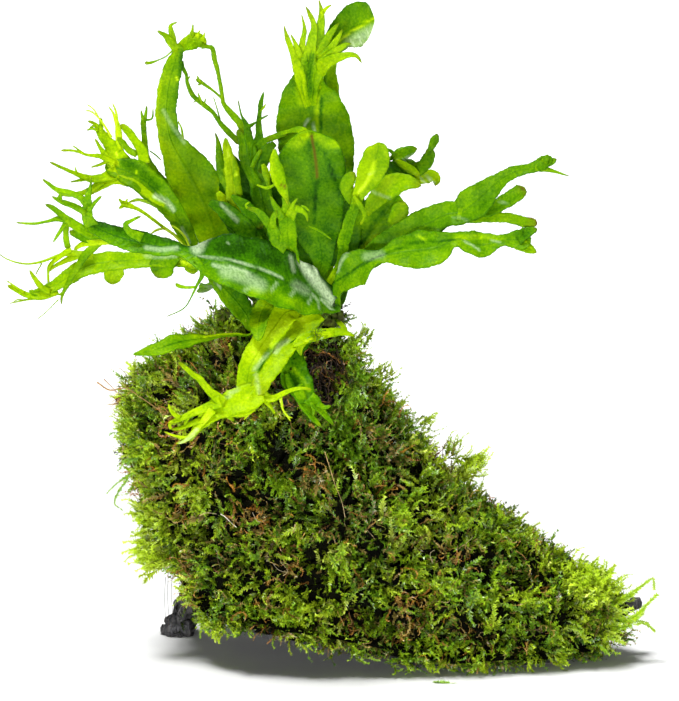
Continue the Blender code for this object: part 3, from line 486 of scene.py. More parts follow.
            stroke(0.75, 1.3, (299, 72), (298, 92), (302, 104)),
            stroke(0.78, 1.2, (312, 93), (319, 100), (317, 116), (319, 133)),
            # Painted shadow: a dark line in the fold of the blade.
            stroke(0.05, 0.6, (321.5, 98), (320.5, 120), (321, 142)),
            stroke(0.36, 2.4, (311, 62), (308, 78), (310, 92)),
            stroke(0.2, 0.6, (313, 56), (309, 75), (311, 92)),
            stroke(0.9, 0.5, (303, 70), (304, 88), (306, 98)),
        ),
    ),
    Leaf(
        "top_curl", "mid", (-4.3, -60), (-0.1, -0.95, 0.3), 0.5,
        strip((331.7, 231, 14, 3), (331.7, 170, 18, 4), (328, 110, 20, 4), (325, 68, 19, 3.4),
              (329, 52, 17.5, 3.2), (337, 40, 15, 4), (346, 32, 12, 5.6), (356, 27.5, 9, 6.6),
              (366, 24.5, 6, 5.8), (373.5, 24, 4, 3), side=-0.1),
        (),
        (
            stroke(2.55, 2.4, (350, 46), (361, 40), (373, 35)),
            stroke(1.1, 0.45, (337, 43), (352, 33), (374, 22)),
            stroke(2.8, 0.5, (352, 50), (362, 47), (370, 48)),
            stroke(0.5, 0.5, (352, 44), (357, 40), (362, 41)),
            stroke(2.95, 0.35, (350, 41), (354, 46), (353, 51)),
            stroke(2.95, 0.35, (359, 38), (361, 45), (366, 48)),
            stroke(2.95, 0.3, (367, 33), (369, 41), (374, 42)),
            stroke(0.3, 0.4, (363, 36), (366, 43)),
        ),
    ),
    Leaf(
        "right_curl", "lime", (-1.8, -10), (0.2, -0.9, 0.35), 0.45,
        strip((348, 264, -1, 3.4), (360, 246, -2, 6), (373, 229, -3, 7.6), (385, 214, -4, 7),
              (393, 204, -4.5, 4.6), (398, 197, -5, 1.8), side=-0.03),
        (
            strip((366, 216, -6, 1), (374, 203, -6.5, 2.4), (384, 192, -7.5, 3.4),
                  (396, 185.5, -8, 3.3), (408, 185, -8.5, 2.2), (420, 187.8, -8.5, 0.5), tone=0.26),
            strip((392, 226, -4.5, 2), (399, 214, -5, 2.8), (403, 203, -5, 1.6), tone=0.14),
            strip((340, 268, -2, 3), (346, 244, -2, 4), (351, 222, -2.5, 4), (356, 200, -3, 2.6),
                  (360, 186, -3.5, 1), tone=-0.2, side=-0.1),
            strip((352, 262, 0, 2), (370, 246, 0, 4), (388, 234, 0, 4), (402, 226, 0, 1.5),
                  tone=-0.24),
        ),
        (
            stroke(2.35, 0.5, (389, 200), (379, 196), (371, 193)),
            stroke(0.2, 0.6, (362, 244), (374, 222), (388, 206)),
            stroke(0.85, 1.2, (358, 256), (366, 246), (376, 238)),
            stroke(0.75, 2.2, (396, 222), (402, 206)),
        ),
    ),
    Leaf(
        "right_lobe", "lime", (-4.3, 20), (0.1, -0.98, 0.1), 0.68,
        strip((340, 264, -7, 1.2), (344, 242, -13, 1.8), (350, 222, -15, 1.7), (356, 206, -16, 1.5),
              (360, 195, -16.5, 2.1), (366, 184, -17, 3.4), (371.5, 173, -17.8, 4.2),
              (375.5, 161, -18, 4), (378, 152, -18, 2.8), (377.5, 147, -17.5, 1), side=0.03),
        (
            strip((353, 208, -15, 0.8), (347.5, 195, -15.5, 1.8), (347.5, 185, -16, 2),
                  (354, 176, -16.5, 1.1), tone=-0.12),
            strip((354, 199, -17, 0.5), (360.5, 209, -17, 0.7), (364, 218, -16.5, 0.6),
                  (360, 227, -16, 0.3), tone=0.02),
        ),
        (
            stroke(1.15, 0.7, (358, 196), (365, 187), (371, 176), (374, 166)),
            stroke(2.9, 0.35, (370, 178), (372, 175)),
            stroke(0.35, 2.6, (339, 266), (345, 242), (352, 214)),
            stroke(0.7, 1, (366, 150), (361, 170)),
        ),
    ),
    Leaf(
        "right_dark", "dark", (-1.8, -60), (0.1, -0.9, 0.4), 0.38,
        strip((363, 252, 13, 2), (377, 222, 16, 2.4), (387, 197, 18, 2.7), (394, 181, 19.5, 3.4),
              (402, 170, 20, 4.2), (411, 167, 21, 3), (419, 166.5, 21, 1.8)),
        (
            strip((410, 169, 21, 1.8), (420, 167, 21, 2.1), (427, 161, 20.5, 2),
                  (430, 152.5, 20, 1.6), (427.5, 148, 20, 0.8), tone=0.06),
            strip((429, 151, 20, 0.5), (432, 145.5, 20, 1.1), (435.5, 138.5, 20, 1.25),
                  (437.8, 132.6, 20, 0.4), tone=0.06),
            strip((393, 159, 20, 1.2), (401, 153, 20.5, 2), (410, 149.5, 21, 1.7),
                  (417.5, 147.2, 21, 0.4), tone=0.04),
            strip((383.5, 148.3, 18, 0.25), (389, 149, 18.5, 0.45), (394, 153, 19, 0.6),
                  (391, 157.5, 19, 0.6), (385.5, 157.5, 19, 0.3), tone=0.1),
            strip((396, 159, 17, 0.5), (405, 165, 17, 1.3), (414, 170.5, 17, 1.1),
                  (420, 175, 17, 0.5), tone=0.42),
            strip((414, 180, 20, 1), (422, 177, 20.5, 1.8), (431, 174.5, 21, 2.1),
                  (437, 178, 21, 1.5), (436, 184.5, 21, 0.4), tone=0.42),
            strip((406, 176, 18, 0.8), (413, 180, 18, 1.2), (421, 182, 18.5, 0.6), tone=0.28),
            strip((388, 161, 17.5, 0.8), (393, 170, 17.5, 1.8), (403, 176, 17.5, 1.2),
                  tone=-0.08),
        ),
        (
            stroke(2.7, 0.45, (404, 158), (412, 156), (417, 152)),
            stroke(0.1, 1.4, (391, 162), (398, 172), (408, 176)),
            stroke(2.7, 0.5, (428, 176), (434, 182)),
            stroke(2.6, 0.4, (422, 178), (426, 182)),
        ),
    ),
    Leaf(
        "right_long", "bright", (0.9, 10), (0, -0.9, 0.4), 0.43,
        strip((350, 277, -6, 2), (364, 264, -6.5, 2.8), (380, 251, -7, 4), (396, 240.5, -8, 4),
              (412, 230.5, -8.5, 4.3), (428, 223.5, -9, 4.6), (444, 216, -9.5, 3.8),
              (458, 214, -10, 3.9), (470, 206, -10, 4.9), (480, 198, -10.5, 4.4),
              (489, 189.5, -11, 3.1), (499, 181.5, -11.5, 2.3), (511, 175, -12, 1.8),
              (523, 172, -12, 1.6), (533, 169.5, -12, 1.7), (541, 165, -12.5, 1.9),
              (548, 161, -13, 1.2), side=0.04),
        (
            strip((532, 170.5, -12, 1.2), (546, 173, -11.8, 0.65), (565.5, 178.6, -11, 0.12),
                  tone=0.2),
            strip((540, 166, -12.5, 1.2), (543, 161, -13, 0.8), (543.5, 158, -13, 0.3), tone=0.1),
            strip((542, 168, -12.5, 1.1), (548.5, 164.5, -12.8, 1), (552.5, 162.5, -13, 0.5),
                  tone=0.05),
            strip((476, 214, -10, 1.8), (488, 210.5, -10, 2.1), (500, 205, -9.5, 2.2),
                  (511, 198, -9, 2.2), (519, 192.5, -9, 2.2), (521.5, 189.5, -9, 1.2), tone=0.02),
            strip((456, 216, -10, 2), (470, 218, -10.2, 2), (485, 218.5, -10.5, 1.8),
                  (500, 219, -11, 1.5), (513, 221.5, -12, 1.6), (525, 224, -12.5, 1.6),
                  (534, 226, -13, 1.3), tone=0.16),
            strip((420, 238, -9, 1.3), (430, 236, -9.5, 1.2), (440, 233.5, -10, 0.5), tone=0.08),
            strip((404, 247, -8, 1.6), (416, 243, -8.5, 1.6), (430, 240, -9, 0.8), tone=0.12),
        ),
        (
            stroke(0.3, 0.4, (520, 196), (504, 206), (488, 214.5)),
            stroke(2.4, 0.4, (498, 204), (504, 205)),
            stroke(2.2, 0.4, (452, 219), (462, 221), (466, 223)),
            stroke(-1, 0.4, (519, 188), (524, 197)),
            stroke(-1, 0.35, (513, 212), (533, 222), (535, 229)),
            stroke(0.5, 2.4, (398, 243), (420, 232)),
        ),
    ),
    Leaf(
        "right_low", "mid", (0.9, 50), (0, -0.88, 0.46), 0.46,
        strip((337, 292, -9, 1.4), (344, 281, -12, 3.4), (353, 271, -14, 5.5), (363, 263.5, -15, 4.4),
              (373, 259.5, -15.5, 2.3), (384, 256.5, -16, 2.4), (396, 254, -16, 4.2),
              (410, 252, -16, 5.5), (425, 250.5, -16, 5.8), (438, 247.5, -16, 4.8),
              (448, 242.5, -16, 2.8), (457, 240.5, -16, 2.4), (468, 244, -16, 3.5),
              (479, 246, -15.5, 4), (490, 244.5, -15, 2.8), (499, 242, -15, 1.8),
              (509, 241, -15, 2.4), (520, 241.5, -15, 3.3), (528, 242.5, -15, 3.2), side=-0.08),
        (
            strip((514, 240, -15, 2), (524, 234.5, -14.8, 1.7), (534, 230.8, -14.6, 0.6),
                  tone=-0.1),
            strip((514, 244, -15.2, 2), (525, 249.5, -15.6, 1.7), (533.5, 254, -15.8, 0.5),
                  tone=0.25),
            strip((518, 234, -14.8, 0.5), (519.5, 230, -14.8, 0.3), (520.3, 227.3, -14.8, 0.1)),
        ),
        (
            stroke(0.1, 0.4, (334, 283), (352, 272), (375, 259), (412, 245), (460, 241)),
            stroke(2.5, 0.7, (337, 272), (342, 261), (347, 252)),
            stroke(2.5, 0.4, (462, 243), (470, 247), (477, 252)),
            stroke(0.7, 1.2, (455, 239), (480, 238), (500, 240)),
            stroke(2.3, 1.6, (366, 258), (380, 256)),
            stroke(0.2, 1.6, (516, 237), (524, 233)),
            stroke(2.4, 0.4, (489, 242), (497, 244)),
            stroke(0.9, 0.6, (417, 238), (425, 242)),
        ),
    ),
    Leaf(
        "down_bright", "lime", (-6.8, 65), (-0.1, -0.82, 0.56), 0.72,
        strip((304, 311, -15, 3), (288, 312, -19, 3.8), (278, 324, -23, 4.1), (268, 338, -27, 3.9),
              (259, 352, -31, 3.7), (252, 366, -34, 3.3), (249, 379, -36, 3), (247, 392, -38, 3),
              side=-0.04),
        (
            strip((322, 316, -16, 1.4), (313, 320, -18, 2.8), (303, 328, -21, 3.6),
                  (291, 338, -25, 4.1), (282, 350, -30, 3.7), (276, 361, -33, 3.4),
                  (269, 372, -36, 3.1), (263, 382, -38, 2.7), (258, 394, -39, 2.8), tone=0.08),
            strip((264, 391, -39, 3.2), (251, 395.5, -40, 4.3), (239, 400, -40, 4.1),
                  (227, 405, -40, 3.5), (216, 411.5, -40.5, 2.6), (207, 419, -41, 2),
                  (200, 427, -41, 1.4), (193, 436, -41.5, 0.7), tone=0.12),
            strip((216, 408, -41, 1.2), (208, 418, -41.5, 1), (198, 430, -41.8, 0.8),
                  (189, 438, -42, 0.6), (180, 441.3, -42, 0.25), tone=0.3),
            strip((204, 424, -41, 0.9), (197, 433, -41.5, 0.8), (194, 439, -42, 0.4), tone=0.15),
            strip((203, 428, -41, 0.7), (193, 434, -41.4, 0.45), (182, 434.3, -41.8, 0.38),
                  (168.8, 429.5, -42, 0.2), tone=0.35),
            strip((228, 401, -39.5, 1.8), (220, 396, -39, 1.5), (214, 391, -39, 1.2),
                  (208.5, 384.4, -39, 1.1), (203.4, 378, -39, 0.9), (197, 374, -39.3, 0.8),
                  (190.6, 367.8, -39.7, 0.7), (183, 361.8, -40, 0.35), tone=0.08),
            strip((224, 400, -40, 2), (212, 405, -40, 1.5), (198, 411, -40.5, 1.1),
                  (186, 416, -40.8, 0.9), (172.5, 421.5, -41, 0.4), tone=0.1),
            strip((185, 416.5, -40.8, 0.8), (177.5, 411.5, -41, 0.6), (174.5, 406, -41, 0.45),
                  (173.3, 402.3, -41, 0.2), tone=0.15),
            strip((206, 418, -41, 1.2), (196, 421.5, -41, 0.8), (186, 425.5, -41, 0.6),
                  (176.5, 427.5, -41, 0.4), tone=0.1),
            strip((178, 419, -41, 0.5), (174, 423, -41, 0.45), (176.5, 427.5, -41, 0.4), tone=0.1),
            strip((198, 412, -40.8, 0.6), (192, 416.5, -40.9, 0.5), (188, 424, -41, 0.4),
                  tone=0.05),
            strip((256, 388, -38.8, 2.4), (266, 395.5, -39, 1.7), (275, 396.8, -39, 1.1),
                  (282.4, 393.3, -39.2, 0.85), (291.4, 389.5, -39.5, 0.65), (301.6, 387, -40, 0.5),
                  (312.3, 388.3, -40, 0.25), tone=0.12),
            strip((262, 400, -39.5, 0.8), (254.4, 407.3, -39.8, 0.5), (246.3, 418, -40, 0.25),
                  tone=0.4),
            strip((233, 412.5, -40.5, 0.8), (247, 411.5, -40.3, 1), (258, 406, -40, 0.8),
                  tone=0.25),
            strip((266, 399, -39.2, 0.8), (273, 406, -39.2, 0.5), (276.8, 412.8, -39.2, 0.35),
                  tone=0.15),
            strip((282, 396, -39, 0.5), (284.3, 408, -39.2, 0.3), (288, 413.5, -39.2, 0.28),
                  (292, 419.3, -39.2, 0.25), tone=0.45),
            strip((288, 413.5, -39.2, 0.25), (291, 415.5, -39.2, 0.2), (294, 416, -39.2, 0.12),
                  tone=0.45),
            strip((228, 411, -40.5, 0.9), (233, 416, -40.7, 0.6), (237, 419, -40.8, 0.3),
                  tone=0.1),
        ),
        (
            stroke(2.6, 0.9, (288, 341), (280, 346), (277, 352)),
            # Painted light: this stroke lightens the upper blade where the glossy leaf above casts its shadow.
            stroke(1.0, 4, (296, 316), (272, 332), (258, 352)),
            stroke(2.4, 0.7, (269, 354), (263, 361), (257, 369)),
            stroke(2.5, 0.6, (240, 388), (235, 391), (230, 396)),
            stroke(2.35, 0.6, (258, 374), (260, 384), (261, 392)),
            stroke(0.3, 0.7, (271, 350), (265, 362), (260, 371)),
            stroke(1.1, 0.8, (249, 396), (252, 395)),
            stroke(2.7, 0.5, (202, 427), (194, 436), (184, 441)),
        ),
    ),
    Leaf(
        "down_dark", "mid", (-4.2, 85), (0.3, -0.85, 0.4), 0.36,
        strip((312, 334, -20, 1.6), (298, 348, -26, 2.6), (294, 363, -29, 4), (297, 377, -31, 4.7),
              (303, 390, -33, 3.8), (310, 401, -35, 2.8), side=-0.05),
        (
            strip((297, 385, -33.5, 2), (305, 403, -35, 1.6), (311, 413, -36, 1.1),
                  (316, 419, -36.5, 0.8), (321.8, 425, -37, 0.35), tone=0.18),
            strip((310, 396, -35, 2.4), (320, 406, -35.5, 1.4), (327, 415, -36, 0.85),
                  (333.8, 423.4, -36, 0.35), tone=0.12),
            strip((318, 402, -35.5, 1.1), (325, 406, -35.8, 0.7), (331.5, 404.5, -36, 0.35),
                  tone=0.1),
            strip((312, 401, -35.8, 0.7), (314.3, 409, -36.2, 0.5), (313.5, 415.3, -36.4, 0.2),
                  tone=0.25),
            strip((288, 372, -32, 0.8), (292, 385, -33.5, 1.2), (292.5, 393, -34.5, 0.4),
                  tone=0.15),
        ),
        (
            stroke(0.75, 0.7, (294, 368), (302, 377), (310, 390)),
            stroke(0.1, 0.7, (290, 372), (298, 388)),
        ),
    ),
    Leaf(
        "down_left", "bright", (-15.5, 60), (-0.2, -0.75, 0.65), 0.6,
        strip((270, 303, -15, 2.4), (264, 309, -19, 3), (260.5, 319, -24, 3), (260, 330, -29, 2.3),
              (260.7, 341, -32, 0.7)),
        (),
        (
            stroke(0.35, 1, (267, 312), (264, 330)),
        ),
    ),
    Leaf(
        "low_left", "mid", (-26, 40), (0, -0.85, 0.5), 0.4,
        strip((254, 327, -9, 1.6), (246, 313, -10, 3), (237, 301, -11, 3.5), (227, 290, -12.5, 3.1),
              (218, 281, -13.5, 2.2), (210, 273, -14.5, 1), side=0.16),
        (),
        (
            stroke(0.32, 1.1, (248, 311), (240, 301), (229, 288)),
            stroke(2.6, 0.3, (216, 283), (222, 289)),
        ),
    ),
    Leaf(
        "on_moss", "mid", (-22, 75), (0, -0.6, 0.8), 0.56,
        strip((252, 334, -14, 0.4), (238, 334.5, -16, 0.5), (224, 335.5, -18.5, 0.8),
              (208, 338, -21.5, 1.2), (194, 339.5, -24, 2.4), (180, 342, -27, 2.9),
              (166, 347, -29.5, 2.6), (152, 351.5, -31, 1.7), (138, 354, -32, 0.4)),
        (),
        (
            stroke(0.95, 0.45, (246, 333), (225, 334.5), (206, 337.5)),
            stroke(0.35, 0.35, (200, 340), (180, 343), (160, 349)),
        ),
    ),
    Leaf(
        "low_right", "lime", (0.9, 85), (0.1, -0.7, 0.7), 0.8,
        strip((344, 330, -22, 1), (330, 333, -25, 1.6), (315, 335.5, -26.5, 1.9),
              (303, 340, -28, 1.7), (294, 346, -29, 0.7)),
        (
            strip((334, 332, -25, 1.3), (345, 333, -25.3, 1), (354.5, 336.3, -25.3, 0.25),
                  tone=-0.1),
            strip((303, 341, -28.3, 1.4), (300.5, 348, -29, 1.1), (302, 356, -29.5, 0.25),
                  tone=-0.06),
        ),
        (
            stroke(1.1, 0.35, (330, 334.5), (318, 337), (306, 342)),
        ),
    ),
    Leaf(
        "centre_small", "mid", (-9.3, 50), (0, -0.95, 0.3), 0.46,
        strip((292, 258, -12, 2.2), (289, 243, -14.5, 2.6), (288.5, 228, -16, 2.6),
              (288.3, 216, -17, 2.2), (287.3, 206, -17.5, 1.2), (283.5, 199.5, -17.5, 0.3),
              tone=0.06),
        (
            strip((288, 250, -14, 2), (277, 240, -15.5, 2), (273, 230, -16.5, 1.6),
                  (266.7, 221.7, -17.5, 1.2), (259, 214, -18.3, 0.9), (249, 210.5, -19, 0.5),
                  tone=0.06),
            strip((249.5, 211, -19, 0.35), (247.5, 208, -19, 0.3), (251.5, 205, -19, 0.25),
                  tone=0.25),
            strip((273, 231, -16.7, 1.2), (274.3, 221, -17.3, 1), (277.8, 213, -17.6, 0.5),
                  tone=0.16),
            strip((284, 222, -17, 1.2), (279, 213, -17.5, 1.1), (275, 206, -17.8, 0.7),
                  (271.5, 199, -18, 0.2), tone=0.1),
            strip((290, 220, -17, 1.6), (295.5, 212, -17.8, 1.3), (301.4, 213, -18.3, 0.9),
                  (306.8, 217.5, -18.7, 0.5), (308.3, 224.5, -19, 0.2), tone=0.25),
            strip((292, 213, -17.6, 0.9), (294.5, 206, -17.8, 0.5), (298.7, 201.4, -18, 0.2),
                  tone=0.2),
            strip((302, 208.5, -18.8, 0.3), (306.5, 210.5, -18.8, 0.35), (310.5, 214.5, -18.8, 0.2),
                  tone=0.22),
            strip((309.5, 228.7, -18, 0.2), (318.8, 232.5, -17.5, 0.28), (324, 235.8, -17, 0.25),
                  (332, 241.5, -16, 0.15), tone=0.2),
            strip((258.5, 187.6, -12, 0.25), (268.6, 190.7, -14, 0.45), (278.5, 186.3, -15, 0.3),
                  tone=0.3),
        ),
        (
            stroke(0.1, 0.7, (262, 232), (270, 240)),
        ),
    ),
    Leaf(
        "centre_yellow", "lime", (-14.5, -10), (0, -0.95, 0.3), 0.76,
        strip((248, 238, 4.5, 2), (240, 218, 5, 2.2), (234, 198, 5.8, 2.2), (233, 184, 6, 2.1),
              (232, 172, 6, 2), (229.5, 159.5, 6, 1.7), (227, 147, 6, 1.1), (226, 139, 6, 0.4),
              tone=0.05),
        (
            strip((238, 204, 6.5, 1.4), (227, 185, 7, 1.4), (221, 168, 7.5, 1.4),
                  (219.5, 152, 7.5, 1), (218, 141, 7.5, 0.5), (215.7, 133.6, 7.5, 0.15), tone=-0.4),
            strip((240, 196, 5, 0.9), (237.5, 180, 4.5, 1.1), (236, 166, 4.2, 0.8),
                  (234, 156, 4, 0.2), tone=-0.15),
        ),
        (
            stroke(1.45, 0.6, (226, 170), (227, 174)),
            stroke(1.4, 0.5, (238, 172), (237, 176)),
            stroke(1.3, 0.5, (228, 150), (229, 157)),
        ),
    ),
    Leaf(
        "left_twig", "mid", (-17, 25), (0, -0.9, 0.4), 0.66,
        strip((226, 262, -5, 0.6), (206, 257, -4.5, 0.5), (191, 250.5, -4, 0.5),
              (176, 236, -3.5, 0.45), (162.6, 226.6, -3.2, 0.45), (147, 214.7, -3, 0.5),
              (136, 208.7, -3, 0.6), (128, 205.5, -3, 1), (122.5, 203.3, -3, 0.7), tone=0.1),
        (
            strip((128, 205.5, -3, 0.5), (128.5, 202, -3, 0.3), (129.5, 200, -3, 0.2), tone=0.1),
            strip((126, 206, -3, 0.6), (123, 208, -3, 0.5), (121, 210, -3, 0.3), tone=0.1),
            strip((125, 204, -3, 0.5), (122, 201.5, -3, 0.4), (121, 200, -3, 0.2), tone=0.1),
            strip((190, 252, -4.4, 0.25), (180, 241, -4.4, 0.28), (171, 232.5, -4.2, 0.25),
                  (164, 230, -4, 0.15), tone=0.55),
            strip((192, 251, -4.6, 0.25), (187, 239, -4.8, 0.3), (179.5, 230.5, -4.6, 0.28),
                  (172, 226, -4.4, 0.15), tone=0.6),
            strip((190, 254, -4.4, 0.25), (178, 247, -4.4, 0.3), (167, 238, -4.2, 0.2), tone=0.55),
            strip((166, 229, -3.4, 0.3), (158, 231, -3.4, 0.35), (152, 235, -3.4, 0.2), tone=0.3),
        ),
        (),
    ),
    Leaf(
        "back_left", "mid", (-23, -75), (0, 0.6, 0.8), 0.5,
        Strip(((-31, 22, 112, 3.5), (-42, 38, 121, 6), (-53, 49, 128, 4.6), (-60, 54, 133, 1.6)),
              0.0, 0.0, None),
        (
            Strip(((-55, 50, 129, 2), (-59, 52, 133, 1), (-60, 54, 137, 0.3)), 0.2, 0, None),
            Strip(((-54, 49, 128, 2), (-60, 52, 130, 1), (-64, 53, 129, 0.3)), 0.2, 0, None),
        ),
        (),
    ),
    Leaf(
        "back_centre", "bright", (-10, -80), (0, 0.6, 0.8), 0.55,
        Strip(((-12, 24, 122, 4), (-16, 42, 130, 7), (-18, 55, 132, 5.4), (-18, 62, 131.5, 2)),
              0.0, 0.0, None),
        (
            Strip(((-18, 55, 132, 2), (-22, 60, 134.5, 1), (-24, 63, 137, 0.3)), 0.2, 0, None),
            Strip(((-17, 55, 132, 2), (-14, 60, 130, 1), (-12, 63, 128, 0.3)), 0.2, 0, None),
        ),
        (),
    ),
    Leaf(
        "back_right", "mid", (0.9, -85), (0, 0.6, 0.8), 0.5,
        Strip(((6, 22, 116, 4), (10, 38, 122, 6), (13.5, 48, 122.5, 4.4), (16, 54, 122, 1.6)),
              0.0, 0.0, None),
        (
            Strip(((13, 48, 122.5, 2), (12, 52, 125, 1), (11, 55.5, 127, 0.3)), 0.2, 0, None),
            Strip(((14, 48, 122, 2), (17, 52, 121, 1), (19.5, 54.5, 120, 0.3)), 0.2, 0, None),
        ),
        (),
    ),
    Leaf(
        "back_low", "dark", (-19, -75), (0.1, 0.8, 0.6), 0.3,
        Strip(((-16, 24, 108, 3), (-20, 40, 101, 5), (-22, 48, 90, 3.4), (-22.5, 51, 84, 1.4)),
              0.0, 0.0, None),
        (
            Strip(((-22, 48, 89, 1.6), (-24, 51, 84, 0.8), (-24.5, 51.5, 81, 0.3)), 0.2, 0, None),
            Strip(((-22, 48, 88, 1.6), (-20.5, 51, 83, 0.8), (-19.5, 52, 80.5, 0.3)), 0.2, 0, None),
        ),
        (),
    ),
    Leaf(
        "back_low_left", "mid", (-27, -80), (-0.2, 0.6, 0.8), 0.5,
        Strip(((-31, 24, 108, 3), (-37, 34, 107, 4), (-42, 41, 103, 1)), 0.0, 0.0, None),
        (),
        (),
    ),
)


# Loose shoots of moss in the photograph: their line, tone and leaf length
MOSS_STRANDS = (
    (((606, 606, -12, 1), (622, 600, -12, 1), (640, 588, -12, 1), (653, 579, -12, 1),
      (655, 590, -12, 1)), 0.6, 1.4),
    (((612, 622, -13, 1), (634, 618, -14, 1), (648, 604, -14, 1), (658, 594, -14, 1)), 0.62, 1.7),
    (((604, 634, -14, 1), (622, 629, -14, 1), (644, 624, -14, 1), (656, 632, -14, 1)), 0.58, 1.4),
    (((612, 628, -12, 1), (626, 624, -12, 1), (640, 622, -12, 1), (650, 624, -12, 1)), 0.56, 1.2),
    (((606, 608, -12, 1), (618, 603, -12, 1), (630, 597, -12, 1), (638, 592, -12, 1)), 0.62, 1.7),
    (((608, 626, -13, 1), (622, 622, -13, 1), (634, 621, -13, 1), (644, 614, -13, 1)), 0.6, 1.7),
    (((598, 590, -10, 1), (606, 577, -10, 1), (615, 566, -10, 1)), 0.7, 1.3),
    (((588, 580, -10, 1), (592, 566, -10, 1), (600, 557, -10, 1)), 0.74, 1.3),
    (((602, 596, -10, 1), (614, 584, -10, 1), (623, 577, -10, 1)), 0.66, 1.2),
    (((582, 574, -10, 1), (580, 562, -10, 1), (584, 553, -10, 1)), 0.7, 1.2),
    (((600, 646, -18, 1), (606, 652, -18, 1), (610, 655, -18, 1)), 0.5, 1.1),
    (((432, 680, -35, 1), (445, 679, -36, 1), (456, 681, -36, 1)), 0.5, 1.2),
    (((140, 470, -5, 1), (128, 476, -5, 1), (116, 484, -5, 1), (106, 494, -5, 1)), 0.46, 0.9),
    (((128, 478, -5, 1), (118, 492, -5, 1), (114, 504, -5, 1), (122, 511, -5, 1)), 0.46, 0.9),
    (((133, 458, -5, 1), (124, 462, -5, 1), (119, 470, -5, 1)), 0.5, 0.9),
)
# Bright tufts of moss in the photograph: across, down, depth, radius, number of shoots, the way
# that they point, size and tone
MOSS_TUFTS = (
    (578, 592, -12, 5, 90, (0.05, -0.4, 1), 1.35, 0.74), (590, 594, -14, 4.5, 110, (0.3, -0.45, 1), 1.4, 0.78),
    (600, 596, -9, 4, 60, (0.9, -0.35, 0.7), 1.2, 0.72), (604, 612, -11, 4, 46, (1, -0.35, 0.1), 1.1, 0.66),
    (600, 630, -13, 3.5, 40, (1, -0.2, -0.2), 1.0, 0.64), (556, 568, -6, 4.5, 36, (0.2, -0.2, 1), 0.9, 0.66),
    (526, 550, -6, 4, 30, (0.3, -0.1, 1), 0.8, 0.66), (505, 532, -2, 3, 26, (0.4, 0, 1), 0.8, 0.66),
    (464, 474, 0, 3.5, 34, (0.9, 0, 0.7), 1.0, 0.72), (472, 466, 0, 2, 16, (0.9, 0, 0.6), 0.9, 0.74),
    (452, 457, 0, 3, 20, (0.6, 0, 0.9), 0.8, 0.68), (422, 428, 0, 3, 22, (0.7, 0, 0.6), 0.7, 0.64),
    (383, 380, 2, 3.5, 24, (0.5, -0.1, 0.9), 0.8, 0.7), (362, 344, 2, 3, 18, (0.3, 0, 1), 0.8, 0.64),
    (162, 556, -8, 3.5, 60, (-1, -0.25, -0.1), 1.1, 0.78), (152, 520, -6, 4, 50, (-1, -0.2, 0.3), 1.0, 0.72),
    (150, 545, -8, 3, 40, (-1, -0.2, -0.4), 1.0, 0.8), (135, 432, -6, 4, 30, (-1, -0.2, 0.5), 0.8, 0.64),
    (144, 400, -4, 4, 30, (-0.8, 0, 0.9), 0.8, 0.66), (168, 360, 0, 4, 30, (-0.6, 0, 0.6), 0.7, 0.5),
    (200, 344, 0, 4, 26, (-0.5, 0, 0.6), 0.7, 0.52), (232, 330, -8, 3, 26, (0.2, -0.3, 0.8), 0.7, 0.56),
    (216, 624, None, 3.5, 50, (0.1, -0.9, -0.5), 0.85, 0.78), (203, 618, -14, 3, 34, (0.2, -0.8, -0.4), 0.7, 0.62),
    (237, 616, None, 4, 30, (0.4, -0.9, -0.1), 0.8, 0.62), (275, 616, None, 4.5, 34, (0.3, -0.9, -0.2), 0.8, 0.52),
    (318, 632, None, 4, 40, (0.5, -0.8, -0.2), 0.8, 0.56), (350, 646, None, 4, 36, (0.7, -0.7, -0.1), 0.8, 0.56),
    (400, 660, None, 4, 36, (0.6, -0.7, -0.1), 0.7, 0.54), (480, 660, None, 3.5, 30, (0.2, -0.6, -0.7), 0.7, 0.7),
    (527, 656, None, 3, 22, (0.2, -0.6, -0.6), 0.7, 0.7), (552, 652, None, 3, 18, (0.7, -0.4, -0.4), 0.8, 0.7),
    (284, 480, None, 3, 34, (-0.2, -0.8, -0.6), 0.9, 0.52), (205, 500, None, 3.5, 34, (-0.4, -0.8, 0.3), 0.9, 0.62),
    (150, 452, None, 4, 30, (-0.8, -0.6, 0), 0.9, 0.64), (255, 425, None, 4, 36, (0.2, -0.8, -0.5), 0.9, 0.38),
    (395, 520, None, 4, 30, (0.5, -0.7, 0.5), 0.9, 0.6), (440, 585, None, 4, 30, (0.6, -0.7, -0.3), 0.9, 0.56),
    (520, 600, None, 4, 34, (0.6, -0.6, 0.5), 1.0, 0.68), (340, 560, None, 4, 30, (0.2, -0.8, -0.5), 0.9, 0.56),
    (300, 606, None, 4, 36, (-0.3, -0.8, -0.3), 0.9, 0.7),
    (352, 392, -26, 3.5, 50, (0.1, -0.7, -0.6), 0.8, 0.44), (336, 408, None, 4, 60, (-0.2, -0.8, -0.3), 0.8, 0.36),
    (316, 410, None, 4, 50, (0.1, -0.9, -0.2), 0.8, 0.34), (356, 372, -22, 3, 40, (0.3, -0.7, 0.2), 0.8, 0.44),
    (342, 430, None, 5, 60, (0.2, -0.8, 0.1), 0.9, 0.42), (344, 450, None, 4, 40, (0.2, -0.8, -0.4), 0.9, 0.4),
    (318, 336, -26, 2.5, 24, (-0.1, -0.8, 0.3), 0.6, 0.4), (350, 352, -20, 3, 34, (0.4, -0.6, 0.5), 0.7, 0.5),
)
